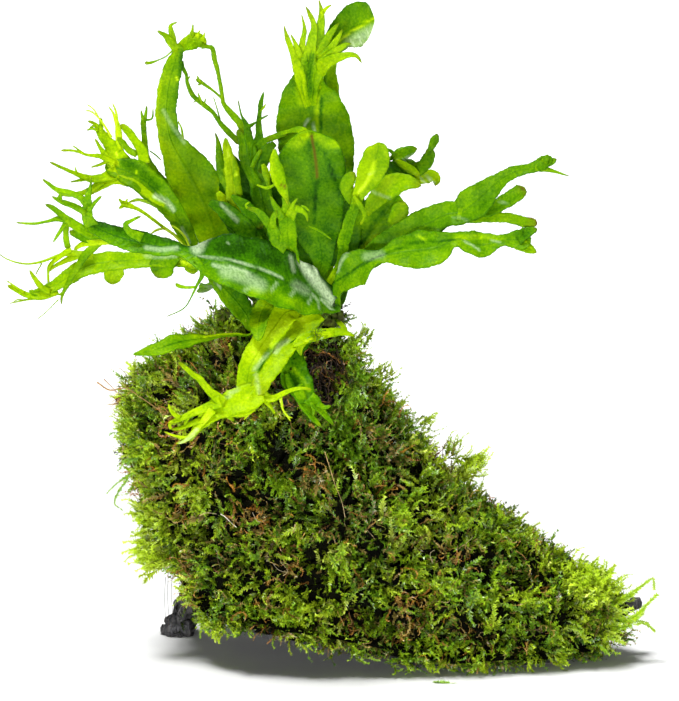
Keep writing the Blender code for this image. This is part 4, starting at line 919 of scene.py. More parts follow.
# Hairs and threads: their line, radius and tone
HAIRS = (
    (((325, 450, -28, 1), (330, 466, -28.4, 1), (335, 482, -28.6, 1), (342, 500, -30.4, 1),
      (345, 515, -31.4, 1)), 0.16, 0.7),
    (((97, 382, -2, 1), (110, 390, -3, 1), (126, 388, -4.5, 1), (143, 398, -9.4, 1),
      (160, 409, -14.8, 1)), 0.28, 0.58),
    (((104, 379, -2, 1), (113, 388, -3, 1), (122, 396, -5, 1)), 0.2, 0.58),
    (((222, 512, -26.6, 1), (227, 515, -27, 1), (232, 520, -28, 1), (238, 525, -29, 1)), 0.2,
     0.95),
    (((201, 514, -23.2, 1), (208, 511, -24.4, 1), (218, 512, -26.2, 1)), 0.14, 0.74),
    (((443, 462, 0, 1), (444, 448, 0, 1), (449, 441, 0, 1), (455, 446, 0, 1), (452, 456, 0, 1)),
     0.14, 0.4),
    (((470, 488, 0, 1), (474, 477, 0, 1), (480, 472, 0, 1), (485, 478, 0, 1)), 0.14, 0.4),
    (((166, 575, 5, 1), (165, 600, 5, 1), (166, 620, 5, 1), (165, 636, 5, 1)), 0.1, 0.12),
    (((170, 575, 5, 1), (169, 598, 5, 1), (170, 622, 5, 1), (168, 634, 5, 1)), 0.1, 0.12),
    (((163, 580, 5, 1), (162, 604, 5, 1), (163, 628, 5, 1)), 0.1, 0.12),
)


def place(points):
    """Points of the drawing, in millimetres, as metres of the model's frame."""
    return (np.asarray(points, float) - ORIGIN) * MM


def unit(vectors):
    """Vectors at length one, along the last axis."""
    vectors = np.asarray(vectors, float)
    return vectors / np.maximum(np.linalg.norm(vectors, axis=-1, keepdims=True), 1e-9)


def smooth_run(rows, step):
    """A smooth run through rows of numbers, whose first three are a place."""
    rows = np.asarray(rows, float)
    ends = np.vstack([2 * rows[0] - rows[1], rows, 2 * rows[-1] - rows[-2]])
    parts = []
    for i in range(1, len(ends) - 2):
        a, b, c, d = ends[i - 1:i + 3]
        count = max(2, int(np.linalg.norm(c[:3] - b[:3]) / step) + 1)
        t = np.linspace(0, 1, count, endpoint=False)[:, None]
        parts.append(0.5 * (2 * b + (c - a) * t + (2 * a - 5 * b + 4 * c - d) * t ** 2
                            + (3 * b - a - 3 * c + d) * t ** 3))
    parts.append(ends[-2][None])
    return np.vstack(parts)


class Mesh:
    """Gathers quads and triangles with values for each vertex."""

    def __init__(self):
        self.points = []
        self.values = []
        self.faces = []
        self.count = 0

    def add_grid(self, points, values):
        """A sheet of faces over a grid of points, with a row of values for each point."""
        rows, columns = points.shape[:2]
        index = self.count + np.arange(rows * columns).reshape(rows, columns)
        corners = (index[:-1, :-1], index[:-1, 1:], index[1:, 1:], index[1:, :-1])
        self.faces.append(np.stack(corners, -1).reshape(-1, 4))
        self.points.append(points.reshape(-1, 3))
        self.values.append(values.reshape(rows * columns, -1))
        self.count += rows * columns

    def build(self, name, attributes):
        """The mesh as an object; attributes names the columns of values."""
        made = bpy.data.objects.new(name, fill_mesh(
            name, place(np.vstack(self.points)), np.vstack(self.faces)))
        bpy.context.scene.collection.objects.link(made)
        values = np.vstack(self.values)
        for column, attribute in enumerate(attributes):
            data = made.data.attributes.new(attribute, "FLOAT", "POINT").data
            data.foreach_set("value", values[:, column].astype(np.float32))
        return made


def fill_mesh(name, points, faces):
    """A smooth mesh from arrays of points in metres and of faces with one length."""
    mesh = bpy.data.meshes.new(name)
    sides = faces.shape[1]
    mesh.vertices.add(len(points))
    mesh.vertices.foreach_set("co", points.astype(np.float32).ravel())
    mesh.loops.add(faces.size)
    mesh.loops.foreach_set("vertex_index", faces.astype(np.int32).ravel())
    mesh.polygons.add(len(faces))
    mesh.polygons.foreach_set("loop_start", np.arange(0, faces.size, sides, dtype=np.int32))
    mesh.update(calc_edges=True)
    mesh.validate()
    mesh.shade_smooth()
    return mesh


# Materials


class Nodes:
    """A material's node tree, with short calls to add and link nodes."""

    def __init__(self, name):
        self.material = bpy.data.materials.new(name)
        self.material.use_nodes = True
        self.tree = self.material.node_tree
        self.shader = self.tree.nodes["Principled BSDF"]
        self.output = self.tree.nodes["Material Output"]

    def put(self, socket, value):
        if isinstance(value, bpy.types.NodeSocket):
            self.tree.links.new(value, socket)
        elif isinstance(value, (tuple, list)) and len(value) == 3 and socket.type == "RGBA":
            socket.default_value = (*value, 1)
        else:
            socket.default_value = value

    def add(self, kind, inputs=(), **settings):
        node = self.tree.nodes.new("ShaderNode" + kind)
        for key, value in settings.items():
            setattr(node, key, value)
        for key, value in dict(inputs).items():
            self.put(node.inputs[key], value)
        return node

    def attribute(self, name):
        return self.add("Attribute", attribute_name=name).outputs["Fac"]

    def math(self, operation, *values):
        node = self.add("Math", operation=operation)
        for socket, value in zip(node.inputs, values):
            self.put(socket, value)
        return node.outputs[0]

    def mix(self, share, first, second, blend="MIX"):
        node = self.add("Mix", data_type="RGBA", blend_type=blend)
        self.put(node.inputs[0], share)
        self.put(node.inputs[6], first)
        self.put(node.inputs[7], second)
        return node.outputs[2]

    def ramp(self, value, *stops):
        """A smooth step of numbers or colours: pairs of place and value."""
        node = self.add("ValToRGB", {"Fac": value})
        elements = node.color_ramp.elements
        while len(elements) < len(stops):
            elements.new(0.5)
        for element, (position, colour) in zip(elements, stops):
            element.position = position
            element.color = (*colour, 1) if isinstance(colour, tuple) else (colour,) * 3 + (1,)
        return node.outputs["Color"]

    def noise(self, size, detail=3.0, vector=None):
        """Noise with features of about size millimetres."""
        where = vector or self.add("TexCoord").outputs["Object"]
        node = self.add("TexNoise", {"Vector": where, "Scale": 1 / (size * MM), "Detail": detail})
        return node.outputs["Fac"]

    def bump(self, height, strength, distance):
        inputs = {"Height": height, "Strength": strength, "Distance": distance * MM}
        return self.add("Bump", inputs).outputs["Normal"]

    def shade(self, **inputs):
        for key, value in inputs.items():
            self.put(self.shader.inputs[key.replace("_", " ")], value)
        return self.material


# Each look of a leaf: roughness, share of light let through, strength of the veins
LEAF_LOOKS = {
    "lime": (0.36, 0.4, 0.12),
    "bright": (0.36, 0.35, 0.12),
    "mid": (0.36, 0.3, 0.12),
    "dark": (0.28, 0.15, 0.2),
}
TONE_LIFT = -0.04
LEAF_COLOURS = (
    (0.0, (0.0112, 0.0538, 0.00112)), (0.125, (0.0336, 0.14, 0.00112)), (0.25, (0.0952, 0.258, 0.00112)),
    (0.36, (0.193, 0.381, 0.00112)), (0.45, (0.302, 0.493, 0.00112)), (0.55, (0.437, 0.627, 0.00224)),
    (0.65, (0.56, 0.75, 0.0224)), (0.78, (0.627, 0.806, 0.246)), (1.0, (0.896, 0.95, 0.784)),
)


def leaf_material(name, look):
    """Thin glossy leaf coloured by its tone, with a rib and side veins."""
    roughness, through_share, veins = LEAF_LOOKS[look]
    nodes = Nodes(name)
    tone = nodes.attribute("tone")
    across = nodes.attribute("across")
    tipness = nodes.attribute("tip")
    vein = nodes.attribute("vein")
    patches = nodes.noise(5.0)
    mottle = nodes.noise(0.7, 4.0)
    blade = nodes.math("SUBTRACT", 1.0, tipness)
    edge = nodes.math("ABSOLUTE", across)
    rib = nodes.math("MULTIPLY", nodes.ramp(edge, (0.02, 1.0), (0.09, 0.0)), blade)
    value = nodes.math("MULTIPLY", nodes.math("ADD", tone, TONE_LIFT), 0.625)
    rim = nodes.ramp(edge, (0.88, 0.0), (1.0, 1.0))
    for source, middle, gain in ((patches, 0.5, 0.3), (mottle, 0.5, 0.3), (rib, 0.0, -0.045),
                                 (rim, 0.0, -0.06)):
        shift = nodes.math("MULTIPLY", nodes.math("SUBTRACT", source, middle), gain)
        value = nodes.math("ADD", value, shift)
    colour = nodes.ramp(value, *LEAF_COLOURS)
    colour = nodes.mix(nodes.attribute("brown"), colour, (0.13, 0.085, 0.006))
    # Painted glare: where the strokes paint glare, the colour turns a pale whitish green, broken up by the mottle.
    painted_glare = nodes.math("MULTIPLY", nodes.attribute("glare"),
                        nodes.ramp(mottle, (0.35, 0.55), (0.6, 1.0)))
    colour = nodes.mix(painted_glare, colour, (0.55, 0.68, 0.42))
    wave = nodes.math("SINE", nodes.math("MULTIPLY", vein, 2.6))
    height = nodes.math("ADD", nodes.math("MULTIPLY", wave, veins),
                        nodes.math("MULTIPLY", mottle, 0.9))
    height = nodes.math("ADD", height, nodes.math("MULTIPLY", rib, 0.8))
    normal = nodes.bump(height, 0.5, 0.35)
    nodes.shade(Base_Color=colour, Roughness=roughness, Specular_IOR_Level=0.035, Normal=normal)
    through = nodes.add("BsdfTranslucent", {"Color": nodes.mix(
        1.0, colour, (1.5, 1.3, 0.4), "MULTIPLY"), "Normal": normal})
    blend = nodes.add("MixShader", {0: through_share})
    nodes.tree.links.new(nodes.shader.outputs[0], blend.inputs[1])
    nodes.tree.links.new(through.outputs[0], blend.inputs[2])
    nodes.tree.links.new(blend.outputs[0], nodes.output.inputs["Surface"])
    return nodes.material


def moss_material():
    """Moss by its UV map: tone across, from dark and brown to yellow, and painted shade upward, from near black at
    the shoots' feet to full colour at their tips.
    """
    nodes = Nodes("moss_shoots")
    uv = nodes.add("UVMap", uv_map="OFBake").outputs["UV"]
    split = nodes.add("SeparateXYZ", {"Vector": uv})
    tone, height = split.outputs["X"], split.outputs["Y"]
    tips = nodes.ramp(
        tone, (0.0, (0.14, 0.07, 0.03)), (0.08, (0.62, 0.27, 0.03)), (0.16, (0.56, 0.38, 0.09)),
        (0.23, (0.3, 0.25, 0.06)), (0.27, (0.08, 0.22, 0.015)), (0.42, (0.2, 0.41, 0.01)),
        (0.56, (0.34, 0.54, 0.015)), (0.7, (0.5, 0.68, 0.02)), (0.85, (0.66, 0.86, 0.04)),
        (1.0, (0.85, 0.95, 0.2)))
    # Painted shade: the V of the UV map darkens the colour and the gloss toward the shoots' feet, and more for
    # shoots that are sunk deep or lie in gaps.
    shade = nodes.ramp(height, (0.0, 0.015), (0.22, 0.1), (0.42, 0.5), (0.65, 1.0))
    colour = nodes.mix(1.0, tips, shade, "MULTIPLY")
    gloss = nodes.math("MULTIPLY", shade, 0.8)
    nodes.shade(Base_Color=colour, Roughness=0.3, Specular_IOR_Level=gloss)
    through = nodes.add("BsdfTranslucent", {"Color": colour})
    blend = nodes.add("MixShader", {0: 0.3})
    nodes.tree.links.new(nodes.shader.outputs[0], blend.inputs[1])
    nodes.tree.links.new(through.outputs[0], blend.inputs[2])
    nodes.tree.links.new(blend.outputs[0], nodes.output.inputs["Surface"])
    return nodes.material


def shade_layer_material():
    """The dark layer of the moss, seen in the gaps between shoots, near black as painted shade."""
    nodes = Nodes("moss_shade_layer")
    coarse = nodes.noise(4.0)
    fine = nodes.noise(0.7)
    # Painted shade: the layer is near black, with faint brownish patches.
    colour = nodes.ramp(coarse, (0.35, (0.0008, 0.0008, 0.0005)), (0.6, (0.003, 0.0035, 0.001)),
                        (0.8, (0.009, 0.006, 0.003)))
    normal = nodes.bump(fine, 1.0, 1.0)
    return nodes.shade(Base_Color=colour, Roughness=0.8, Specular_IOR_Level=0.04, Normal=normal)


def strand_material(name):
    """Thin strands by their tone: near black, brown, orange, tan, then off-white."""
    nodes = Nodes(name)
    colour = nodes.ramp(
        nodes.attribute("tone"), (0.0, (0.006, 0.004, 0.003)), (0.2, (0.03, 0.016, 0.008)),
        (0.4, (0.13, 0.07, 0.03)), (0.55, (0.42, 0.19, 0.04)), (0.75, (0.5, 0.36, 0.14)),
        (1.0, (0.85, 0.8, 0.7)))
    mottle = nodes.noise(0.8, 2.0)
    colour = nodes.mix(1.0, colour, nodes.ramp(mottle, (0.35, 0.65), (0.65, 1.1)), "MULTIPLY")
    return nodes.shade(Base_Color=colour, Roughness=0.5)


def wood_material():
    """Dark, damp driftwood with grain along the limb."""
    nodes = Nodes("driftwood")
    where = nodes.add("TexCoord").outputs["Object"]
    stretched = nodes.add("Mapping", {"Vector": where, "Scale": (1.0, 1.0, 0.12)}).outputs[0]
    grain = nodes.noise(0.9, 5.0, stretched)
    patches = nodes.noise(5.0)
    colour = nodes.ramp(grain, (0.36, (0.002, 0.002, 0.003)), (0.5, (0.013, 0.013, 0.014)),
                        (0.62, (0.045, 0.044, 0.044)), (0.78, (0.17, 0.16, 0.155)))
    tint = nodes.ramp(patches, (0.35, (0.6, 0.6, 0.7)), (0.7, (1.1, 1.0, 0.9)))
    colour = nodes.mix(1.0, colour, tint, "MULTIPLY")
    roughness = nodes.ramp(patches, (0.3, 0.45), (0.7, 0.8))
    normal = nodes.bump(grain, 0.8, 0.8)
    return nodes.shade(Base_Color=colour, Roughness=roughness, Normal=normal)


def rhizome_material():
    nodes = Nodes("rhizome")
    rings = nodes.noise(1.6, 4.0)
    colour = nodes.ramp(rings, (0.3, (0.02, 0.015, 0.004)), (0.55, (0.07, 0.1, 0.008)),
                        (0.75, (0.2, 0.19, 0.03)))
    return nodes.shade(Base_Color=colour, Roughness=0.6, Specular_IOR_Level=0.15,
                       Normal=nodes.bump(rings, 0.8, 0.8))


# Fronds


def add_strip(mesh, stations, faces, tone, side, level, strokes, rng):
    """Adds a keeled, slightly rippled leaf strip with a rounded end to the mesh.

    stations are x, y, z and half width. faces are the ways that it faces at its start and end.
    level is 0 for a blade and 1 for the fine tips.
    """
    run = smooth_run(stations, SHEET_STEP)
    centre = run[:, :3]
    half = np.maximum(run[:, 3], 0.06)
    steps = np.linalg.norm(np.diff(centre, axis=0), axis=1)
    along = np.concatenate([[0], np.cumsum(steps)])
    share = (along / along[-1])[:, None]
    reach = max(half[-1] * 0.9, 0.3)
    half = half * np.sqrt(1 - np.clip(1 - (along[-1] - along) / reach, 0, 0.97) ** 2)
    face = unit(np.array(faces[0]) * (1 - share) + np.array(faces[1]) * share)
    direction = unit(np.gradient(centre, axis=0))
    across = unit(np.cross(face, direction))
    normal = np.cross(direction, across)
    columns = 2 * int(np.clip(half.max() / COLUMN_WIDTH, 1, 14)) + 1
    place_across = np.linspace(1, -1, columns)
    turn = rng.uniform(0, 6, 8)
    left = place_across > 0
    distance = along[:, None]
    wobble = sum(gain * np.sin(distance * pace + np.where(left, turn[i], turn[i + 3]))
                 for i, (gain, pace) in enumerate(MARGIN_WOBBLE))
    room = np.minimum(half * 0.14, MARGIN_LIMIT)[:, None]
    reach_across = (half[:, None] + room * wobble) * place_across
    sink = KEEL * half[:, None] * (1 - place_across ** 2)
    pace = 2 * math.pi / rng.uniform(7, 11)
    ripple = np.minimum(half * 0.13, RIPPLE_LIMIT)[:, None] * place_across ** 2 * np.sin(
        distance * pace + np.where(left, turn[6], turn[7]))
    points = (centre[:, None] + across[:, None] * reach_across[..., None]
              + normal[:, None] * (ripple - sink)[..., None])
    tones, brown, glare = paint(points, tone + side * place_across[None], strokes)
    if level > 0:
        brown = np.maximum(brown, TIP_BROWN * np.clip(share * 6 - 5, 0, 1))
    values = np.stack(np.broadcast_arrays(
        tones, place_across[None], np.asarray(level, float),
        distance - 0.9 * np.abs(reach_across), brown, glare), -1)
    mesh.add_grid(points, values)


def paint(points, tones, strokes):
    """The tones of points after the strokes, as seen from the front, and how brown and how pale
    with glare they are."""
    seen_at = np.stack([points[..., 0], points[..., 2] + LOOK_DOWN * points[..., 1]], -1)
    tones = np.broadcast_to(tones, points.shape[:2]).copy()
    brown = np.zeros(points.shape[:2])
    glare = np.zeros(points.shape[:2])
    for each in strokes:
        nearest = np.full(points.shape[:2], 1e9)
        for a, b in zip(each.line, each.line[1:]):
            share = np.clip(((seen_at - a) @ (b - a)) / ((b - a) @ (b - a)), 0, 1)[..., None]
            nearest = np.minimum(nearest, np.linalg.norm(seen_at - a - (b - a) * share, axis=-1))
        weight = np.clip(1.25 - nearest / each.radius, 0, 1)
        weight = weight * weight * (3 - 2 * weight)
        if each.tone < 0:
            brown = np.maximum(brown, weight)
        elif each.tone >= GLARE:
            glare = np.maximum(glare, weight * (each.tone - GLARE))
        else:
            weight = weight * STROKE_SHARE
            tones = tones * (1 - weight) + each.tone * weight
    return tones, brown, glare


def build_leaf(leaf, material, seed):
    rng = np.random.default_rng(seed)
    x, tilt = leaf.root
    share = (x - RHIZOME_START[0]) / (RHIZOME_END[0] - RHIZOME_START[0])
    centre = RHIZOME_START + (RHIZOME_END - RHIZOME_START) * share
    tilt = math.radians(tilt)
    out = np.array((0, -math.sin(tilt), math.cos(tilt)))
    foot = centre + out * STALK_FOOT
    stalk = ((*foot, STALK_HALF_WIDTH), (*(foot + out * STALK_RISE), STALK_HALF_WIDTH))
    mesh = Mesh()
    for number, part in enumerate((leaf.blade, *leaf.arms)):
        stations = part.stations if number else stalk + part.stations
        faces = part.face or (leaf.face, leaf.face)
        add_strip(mesh, stations, faces, leaf.tone + ARM_TONE * part.tone, part.side,
                  0.8 if number else 0.0, leaf.strokes, rng)
    piece = mesh.build("leaf_" + leaf.name, ("tone", "across", "tip", "vein", "brown", "glare"))
    piece.data.materials.append(material)
    thicken = piece.modifiers.new("thickness", "SOLIDIFY")
    thicken.thickness = LEAF_THICKNESS * MM
    thicken.offset = 0
    ready(piece, "frond_" + leaf.look, "fern_frond_" + leaf.name)


def ready(piece, slot, *nodes):
    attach(piece, "root")
    if nodes:
        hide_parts(*nodes)


# Moss


def outer_skin(node, blockers):
    """Triangles of a node that face outward: points, corners, normals and areas, in metres."""
    mesh = node.data
    mesh.calc_loop_triangles()
    points = np.zeros(len(mesh.vertices) * 3)
    mesh.vertices.foreach_get("co", points)
    points = points.reshape(-1, 3)
    corners = np.zeros(len(mesh.loop_triangles) * 3, int)
    mesh.loop_triangles.foreach_get("vertices", corners)
    corners = corners.reshape(-1, 3)
    a, b, c = (points[corners[:, i]] for i in range(3))
    cross = np.cross(b - a, c - a)
    area = np.linalg.norm(cross, axis=1) / 2
    normal = unit(cross)
    middle = (a + b + c) / 3
    keep = np.ones(len(corners), bool)
    for i in range(len(corners)):
        start = Vector(middle[i] + normal[i] * 0.05 * MM)
        for tree in blockers:
            if tree.ray_cast(start, Vector(normal[i]), LONGEST_RAY)[0] is not None:
                keep[i] = False
                break
    return points, corners[keep], normal[keep], area[keep]


def tree_of(node):
    mesh = node.data
    return BVHTree.FromPolygons([v.co for v in mesh.vertices], [p.vertices for p in mesh.polygons])


def scatter(skin, count, rng):
    """Random points on the skin, with their normals."""
    points, corners, normal, area = skin
    chosen = rng.choice(len(area), count, p=area / area.sum())
    r1 = np.sqrt(rng.uniform(size=count))[:, None]
    r2 = rng.uniform(size=count)[:, None]
    a, b, c = (points[corners[chosen, i]] for i in range(3))
    return a * (1 - r1) + b * r1 * (1 - r2) + c * r1 * r2, normal[chosen]


def smooth_field(points, size, seed):
    """A smooth random field from -1 to 1 with features of about size millimetres."""
    rng = np.random.default_rng(seed)
    value = np.zeros(len(points))
    for _ in range(8):
        way = unit(rng.normal(size=3))
        value += np.sin(points @ way * 2 * math.pi / (size * MM) * rng.uniform(0.7, 1.4)
                        + rng.uniform(0, 6))
    return np.clip(value / 3.2, -1, 1)


def as_seen(points):
    """Where points of the model, in metres, lie in the photograph: across and down in pixels."""
    x, y, z = (points / MM + ORIGIN).T
    return x / PIXEL + PIXEL_MIDDLE, PIXEL_FLOOR - (z + LOOK_DOWN * y) / PIXEL_UP


def near(points, normals, places):
    """For each point at the front, how much it belongs to each place: across, down, radius."""
    across, down = as_seen(points)
    front = np.clip(0.4 - normals[:, 1], 0, 1)
    return [front * np.exp(-((across - px) ** 2 + (down - py) ** 2) / (radius * radius))
            for px, py, radius in places]


def leafy(rng, centre, leaf, bare, facing):
    """Triangles of the stem and leaves of a moss shoot along a line, with the level of painted
    shade and the shift of tone of each corner: painted shade darkens the feet and spares the
    tips. The leaves overlap into a plume that faces one way."""
    pairs = len(centre) - 1
    corners, shade_levels, shifts = [], [], []
    for i in range(pairs):
        here = i / pairs
        forward = unit(centre[i + 1] - centre[max(i - 1, 0)])
        side = unit(np.cross(forward, facing))
        up = np.cross(side, forward)
        wide = side * STEM_WIDTH * (1.1 - 0.6 * here)
        corners.append((centre[i] - wide, centre[i] + wide, centre[i + 1] + forward * 0.1))
        shade_levels.append((0.35 + 0.35 * here,) * 3)
        shifts.append((-0.1,) * 3)
        if rng.uniform() < bare:
            continue
        size = leaf * (0.6 + 0.4 * math.sin(math.pi * min(1, here + 0.3)))
        for sign in (-1, 1, 0) if i % 2 else (-1, 1):
            length = size * rng.uniform(0.75, 1.2)
            roll = rng.uniform(-0.3, 0.8) if sign else rng.uniform(1.1, 2.0)
            opened = math.radians(rng.uniform(32, 66))
            beside = side * (sign or 1) * math.cos(roll) + up * math.sin(roll)
            way = forward * math.cos(opened) + beside * math.sin(opened)
            along = forward * length * rng.uniform(0.26, 0.38)
            base = centre[i] + up * rng.uniform(-0.05, 0.05)
            corners.append((base - along, base + along, base + way * length))
            low = 0.24 + 0.4 * here + rng.uniform(-0.06, 0.06)
            shade_levels.append((low, low + 0.06, 0.52 + 0.4 * here + rng.uniform(-0.12, 0.12)))
            shifts.append((rng.uniform(-0.1, 0.1),) * 3)
    return np.array(corners), np.array(shade_levels).ravel(), np.array(shifts).ravel()


def shoot(rng, length, leaf, bend, swing, bare):
    """A curved moss shoot that starts along +Y."""
    pairs = max(5, int(length / LEAF_SPACING))
    t = np.linspace(0, 1, pairs + 1)
    angle = bend * t ** 1.3
    step = length / pairs
    centre = np.stack([swing * length * np.sin(2.6 * t) * t,
                       step * (np.cumsum(np.cos(angle)) - 1),
                       step * np.cumsum(np.sin(angle))], 1)
    return leafy(rng, centre, leaf, bare, (0.05, 0.1, 1.0))


def clumps_of(points, centres):
    """The nearest centre of each point and how near the point is to the clump's border."""
    nearest = np.zeros(len(points), int)
    border = np.zeros(len(points))
    for start in range(0, len(points), 2000):
        part = points[start:start + 2000]
        gap = np.linalg.norm(part[:, None] - centres[None], axis=2)
        order = np.argpartition(gap, 1, axis=1)[:, :2]
        two = np.take_along_axis(gap, order, 1)
        first = two.argmin(axis=1)
        nearest[start:start + 2000] = order[np.arange(len(part)), first]
        border[start:start + 2000] = two.min(axis=1) / two.max(axis=1)
    return nearest, border


def moss_tones(points, normals, clump, rng):
    """The tone of each shoot: light on the rims, partly its own colour and partly painted rim light, and on the
    toe, deep on the face, with the patches of MOSS_SHADES, which are partly painted light and shade.
    """
    across, _ = as_seen(points)
    toe = np.clip((across - 430) / 170, 0, 1)
    rim = (1 - np.abs(normals[:, 1])) ** 1.5
    # Shoots where the coat turns away from the front are a little lighter: partly their own colour and partly
    # painted rim light.
    tone = (MOSS_TONE + 0.1 * smooth_field(points, 26, 3) + 0.06 * rim
            + rng.normal(0, 0.15, CLUMP_COUNT)[clump] + rng.normal(0, 0.1, len(points)))
    for weight, (*_, shift) in zip(
            near(points, normals, [place[:3] for place in MOSS_SHADES]), MOSS_SHADES):
        tone += weight * shift
    tone = np.clip(tone - 0.05 * toe, 0.26, 0.97)
    dead = rng.uniform(size=len(points)) < 0.03 + 0.06 * (1 - toe) * (1 - rim) + 1.0 * np.max(
        near(points, normals, MOSS_BROWN), axis=0)
    dead |= (rng.uniform(size=CLUMP_COUNT) < 0.04)[clump] & (toe < 0.4)
    tone[dead] = rng.uniform(0.02, 0.24, dead.sum())
    return tone


def build_moss():
    nodes = frame["nodes"]
    wood = ("driftwood_trunk", "driftwood_toe", "driftwood_heel")
    coat = nodes["moss_coat"]
    skin = outer_skin(coat, [tree_of(nodes[name]) for name in (*wood, "fern_rhizome", "moss_coat")])
    build_mat(coat, skin)
    rng = np.random.default_rng(11)
    kinds = [shoot(rng, rng.uniform(4.0, 8.4), rng.uniform(1.0, 1.6), rng.uniform(-0.5, 2.2),
                   rng.uniform(-0.5, 0.5), (0.0, 0.0, 0.1, 0.4)[i % 4]) for i in range(28)]
    kinds += [shoot(rng, rng.uniform(3.5, 7), rng.uniform(0.6, 1.0), rng.uniform(0.5, 2.8),
                    rng.uniform(-0.7, 0.7), 0.2) for _ in range(DEAD_KINDS)]
    points, normals = scatter(skin, MOSS_COUNT, rng)
    stem_points, stem_normals = scatter(outer_skin(nodes["fern_rhizome"], []), RHIZOME_MOSS, rng)
    low = (stem_normals[:, 2] < 0.7) | (stem_points[:, 0] < -0.03)
    root_points, root_normals = scatter(outer_skin(nodes["fern_roots"], []), ROOT_MOSS, rng)
    heel_points, heel_normals = scatter(outer_skin(nodes["driftwood_heel"], []), HEEL_MOSS, rng)
    heel = (as_seen(heel_points)[0] > 190) & (heel_points[:, 2] > 0.004)
    points = np.vstack([points, stem_points[low], root_points, heel_points[heel]])
    normals = np.vstack([normals, stem_normals[low], root_normals, heel_normals[heel]])
    centres, _ = scatter(skin, CLUMP_COUNT, rng)
    clump, border = clumps_of(points, centres)
    border = np.clip((border - 0.6) / 0.4, 0, 1)
    tones = moss_tones(points, normals, clump, rng)
    outward = (points - centres[clump]) / (CLUMP_RADIUS * MM)
    tangent = (unit(rng.normal(size=(CLUMP_COUNT, 3)))[clump] * 0.8 + outward * 0.9
               + rng.normal(size=points.shape) * 0.4 + np.array((0, 0, 0.25)))
    tangent = unit(tangent - normals * (tangent * normals).sum(axis=1, keepdims=True))
    below = np.clip(-normals[:, 2] - 0.3, 0, 0.7)
    lean = np.radians(rng.uniform(30, 84, len(points)) + 30 * below)[:, None]
    lean = np.minimum(lean, math.radians(84))
    forward = normals * np.cos(lean) + tangent * np.sin(lean)
    side = unit(np.cross(forward, normals) + rng.normal(0, 0.45, points.shape))
    side = unit(side - forward * (side * forward).sum(axis=1, keepdims=True))
    up = np.cross(side, forward)
    kind = rng.integers(0, len(kinds) - DEAD_KINDS, len(points))
    kind = np.where(tones < DEAD_TONE, rng.integers(len(kinds) - DEAD_KINDS, len(kinds), len(points)), kind)
    size = rng.uniform(0.75, 1.2, len(points)) * (1 - 0.45 * below)
    lengths = np.array([corners[..., 1].max() for corners, *_ in kinds])
    rise = lengths[kind] * size * np.cos(lean[:, 0])
    sunk = rng.uniform(-1.0, 1.5, CLUMP_COUNT)[clump] + 2.4 * border + rng.uniform(-0.6, 1.0, len(points))
    under = rng.uniform(size=len(points)) < UNDER_SHARE
    sunk = sunk + np.where(under, rng.uniform(1.2, 2.6, len(points)), 0) - 0.9 * (tones < DEAD_TONE)
    depth = np.minimum(rise + sunk, MOSS_DEPTH)
    # Painted shade: shoots that are sunk deeper, and shoots at the borders of clumps, are darker.
    light = np.clip(1.08 - 0.13 * np.clip(sunk, 0, 5) - 0.3 * border ** 2, 0.35, 1.1)
    keep = under | ~(rng.uniform(size=CLUMP_COUNT) < BARE_CLUMPS)[clump]
    # Painted shade in the gaps of MOSS_GAPS: fewer shoots, sunk deeper and darker.
    dark = np.max(near(points, normals, MOSS_GAPS), axis=0)
    keep &= under | (rng.uniform(size=len(points)) > dark * 0.4)
    depth = depth + 1.6 * dark
    light = light * (1 - 0.75 * dark) * rng.uniform(0.75, 1.08, len(points))
    roots = points - normals * depth[:, None] * MM
    tuft_roots, tuft_forward, tuft_tones, tuft_sizes = grow_tufts(tree_of(coat), rng)
    count = len(tuft_roots)
    tuft_side = unit(np.cross(tuft_forward, rng.normal((0, -1, 0.2), 0.5, (count, 3))))
    roots = np.vstack([roots, tuft_roots])
    forward = np.vstack([forward, tuft_forward])
    side = np.vstack([side, tuft_side])
    up = np.vstack([up, np.cross(tuft_side, tuft_forward)])
    tones = np.concatenate([tones, tuft_tones])
    size = np.concatenate([size, tuft_sizes])
    kind = np.concatenate([kind, rng.integers(0, len(kinds) - DEAD_KINDS, count)])
    light = np.concatenate([light, np.ones(count)])
    keep = np.concatenate([keep, np.ones(count, bool)])
    region = np.digitize(roots[:, 0], MOSS_SPLITS) + 3 * (roots[:, 1] > -0.004)
    material = moss_material()
    for number, name in enumerate(MOSS_PIECES):
        all_points, all_uvs = [], []
        for k, (corners, shade_levels, shifts) in enumerate(kinds):
            chosen = np.flatnonzero((region == number) & (kind == k) & keep)
            if not len(chosen):
                continue
            axes = np.stack([side[chosen], forward[chosen], up[chosen]], 1) * MM
            axes *= size[chosen][:, None, None]
            world = np.einsum("vk,nkc->nvc", corners.reshape(-1, 3), axes) + roots[chosen][:, None]
            all_points.append(world.reshape(-1, 3))
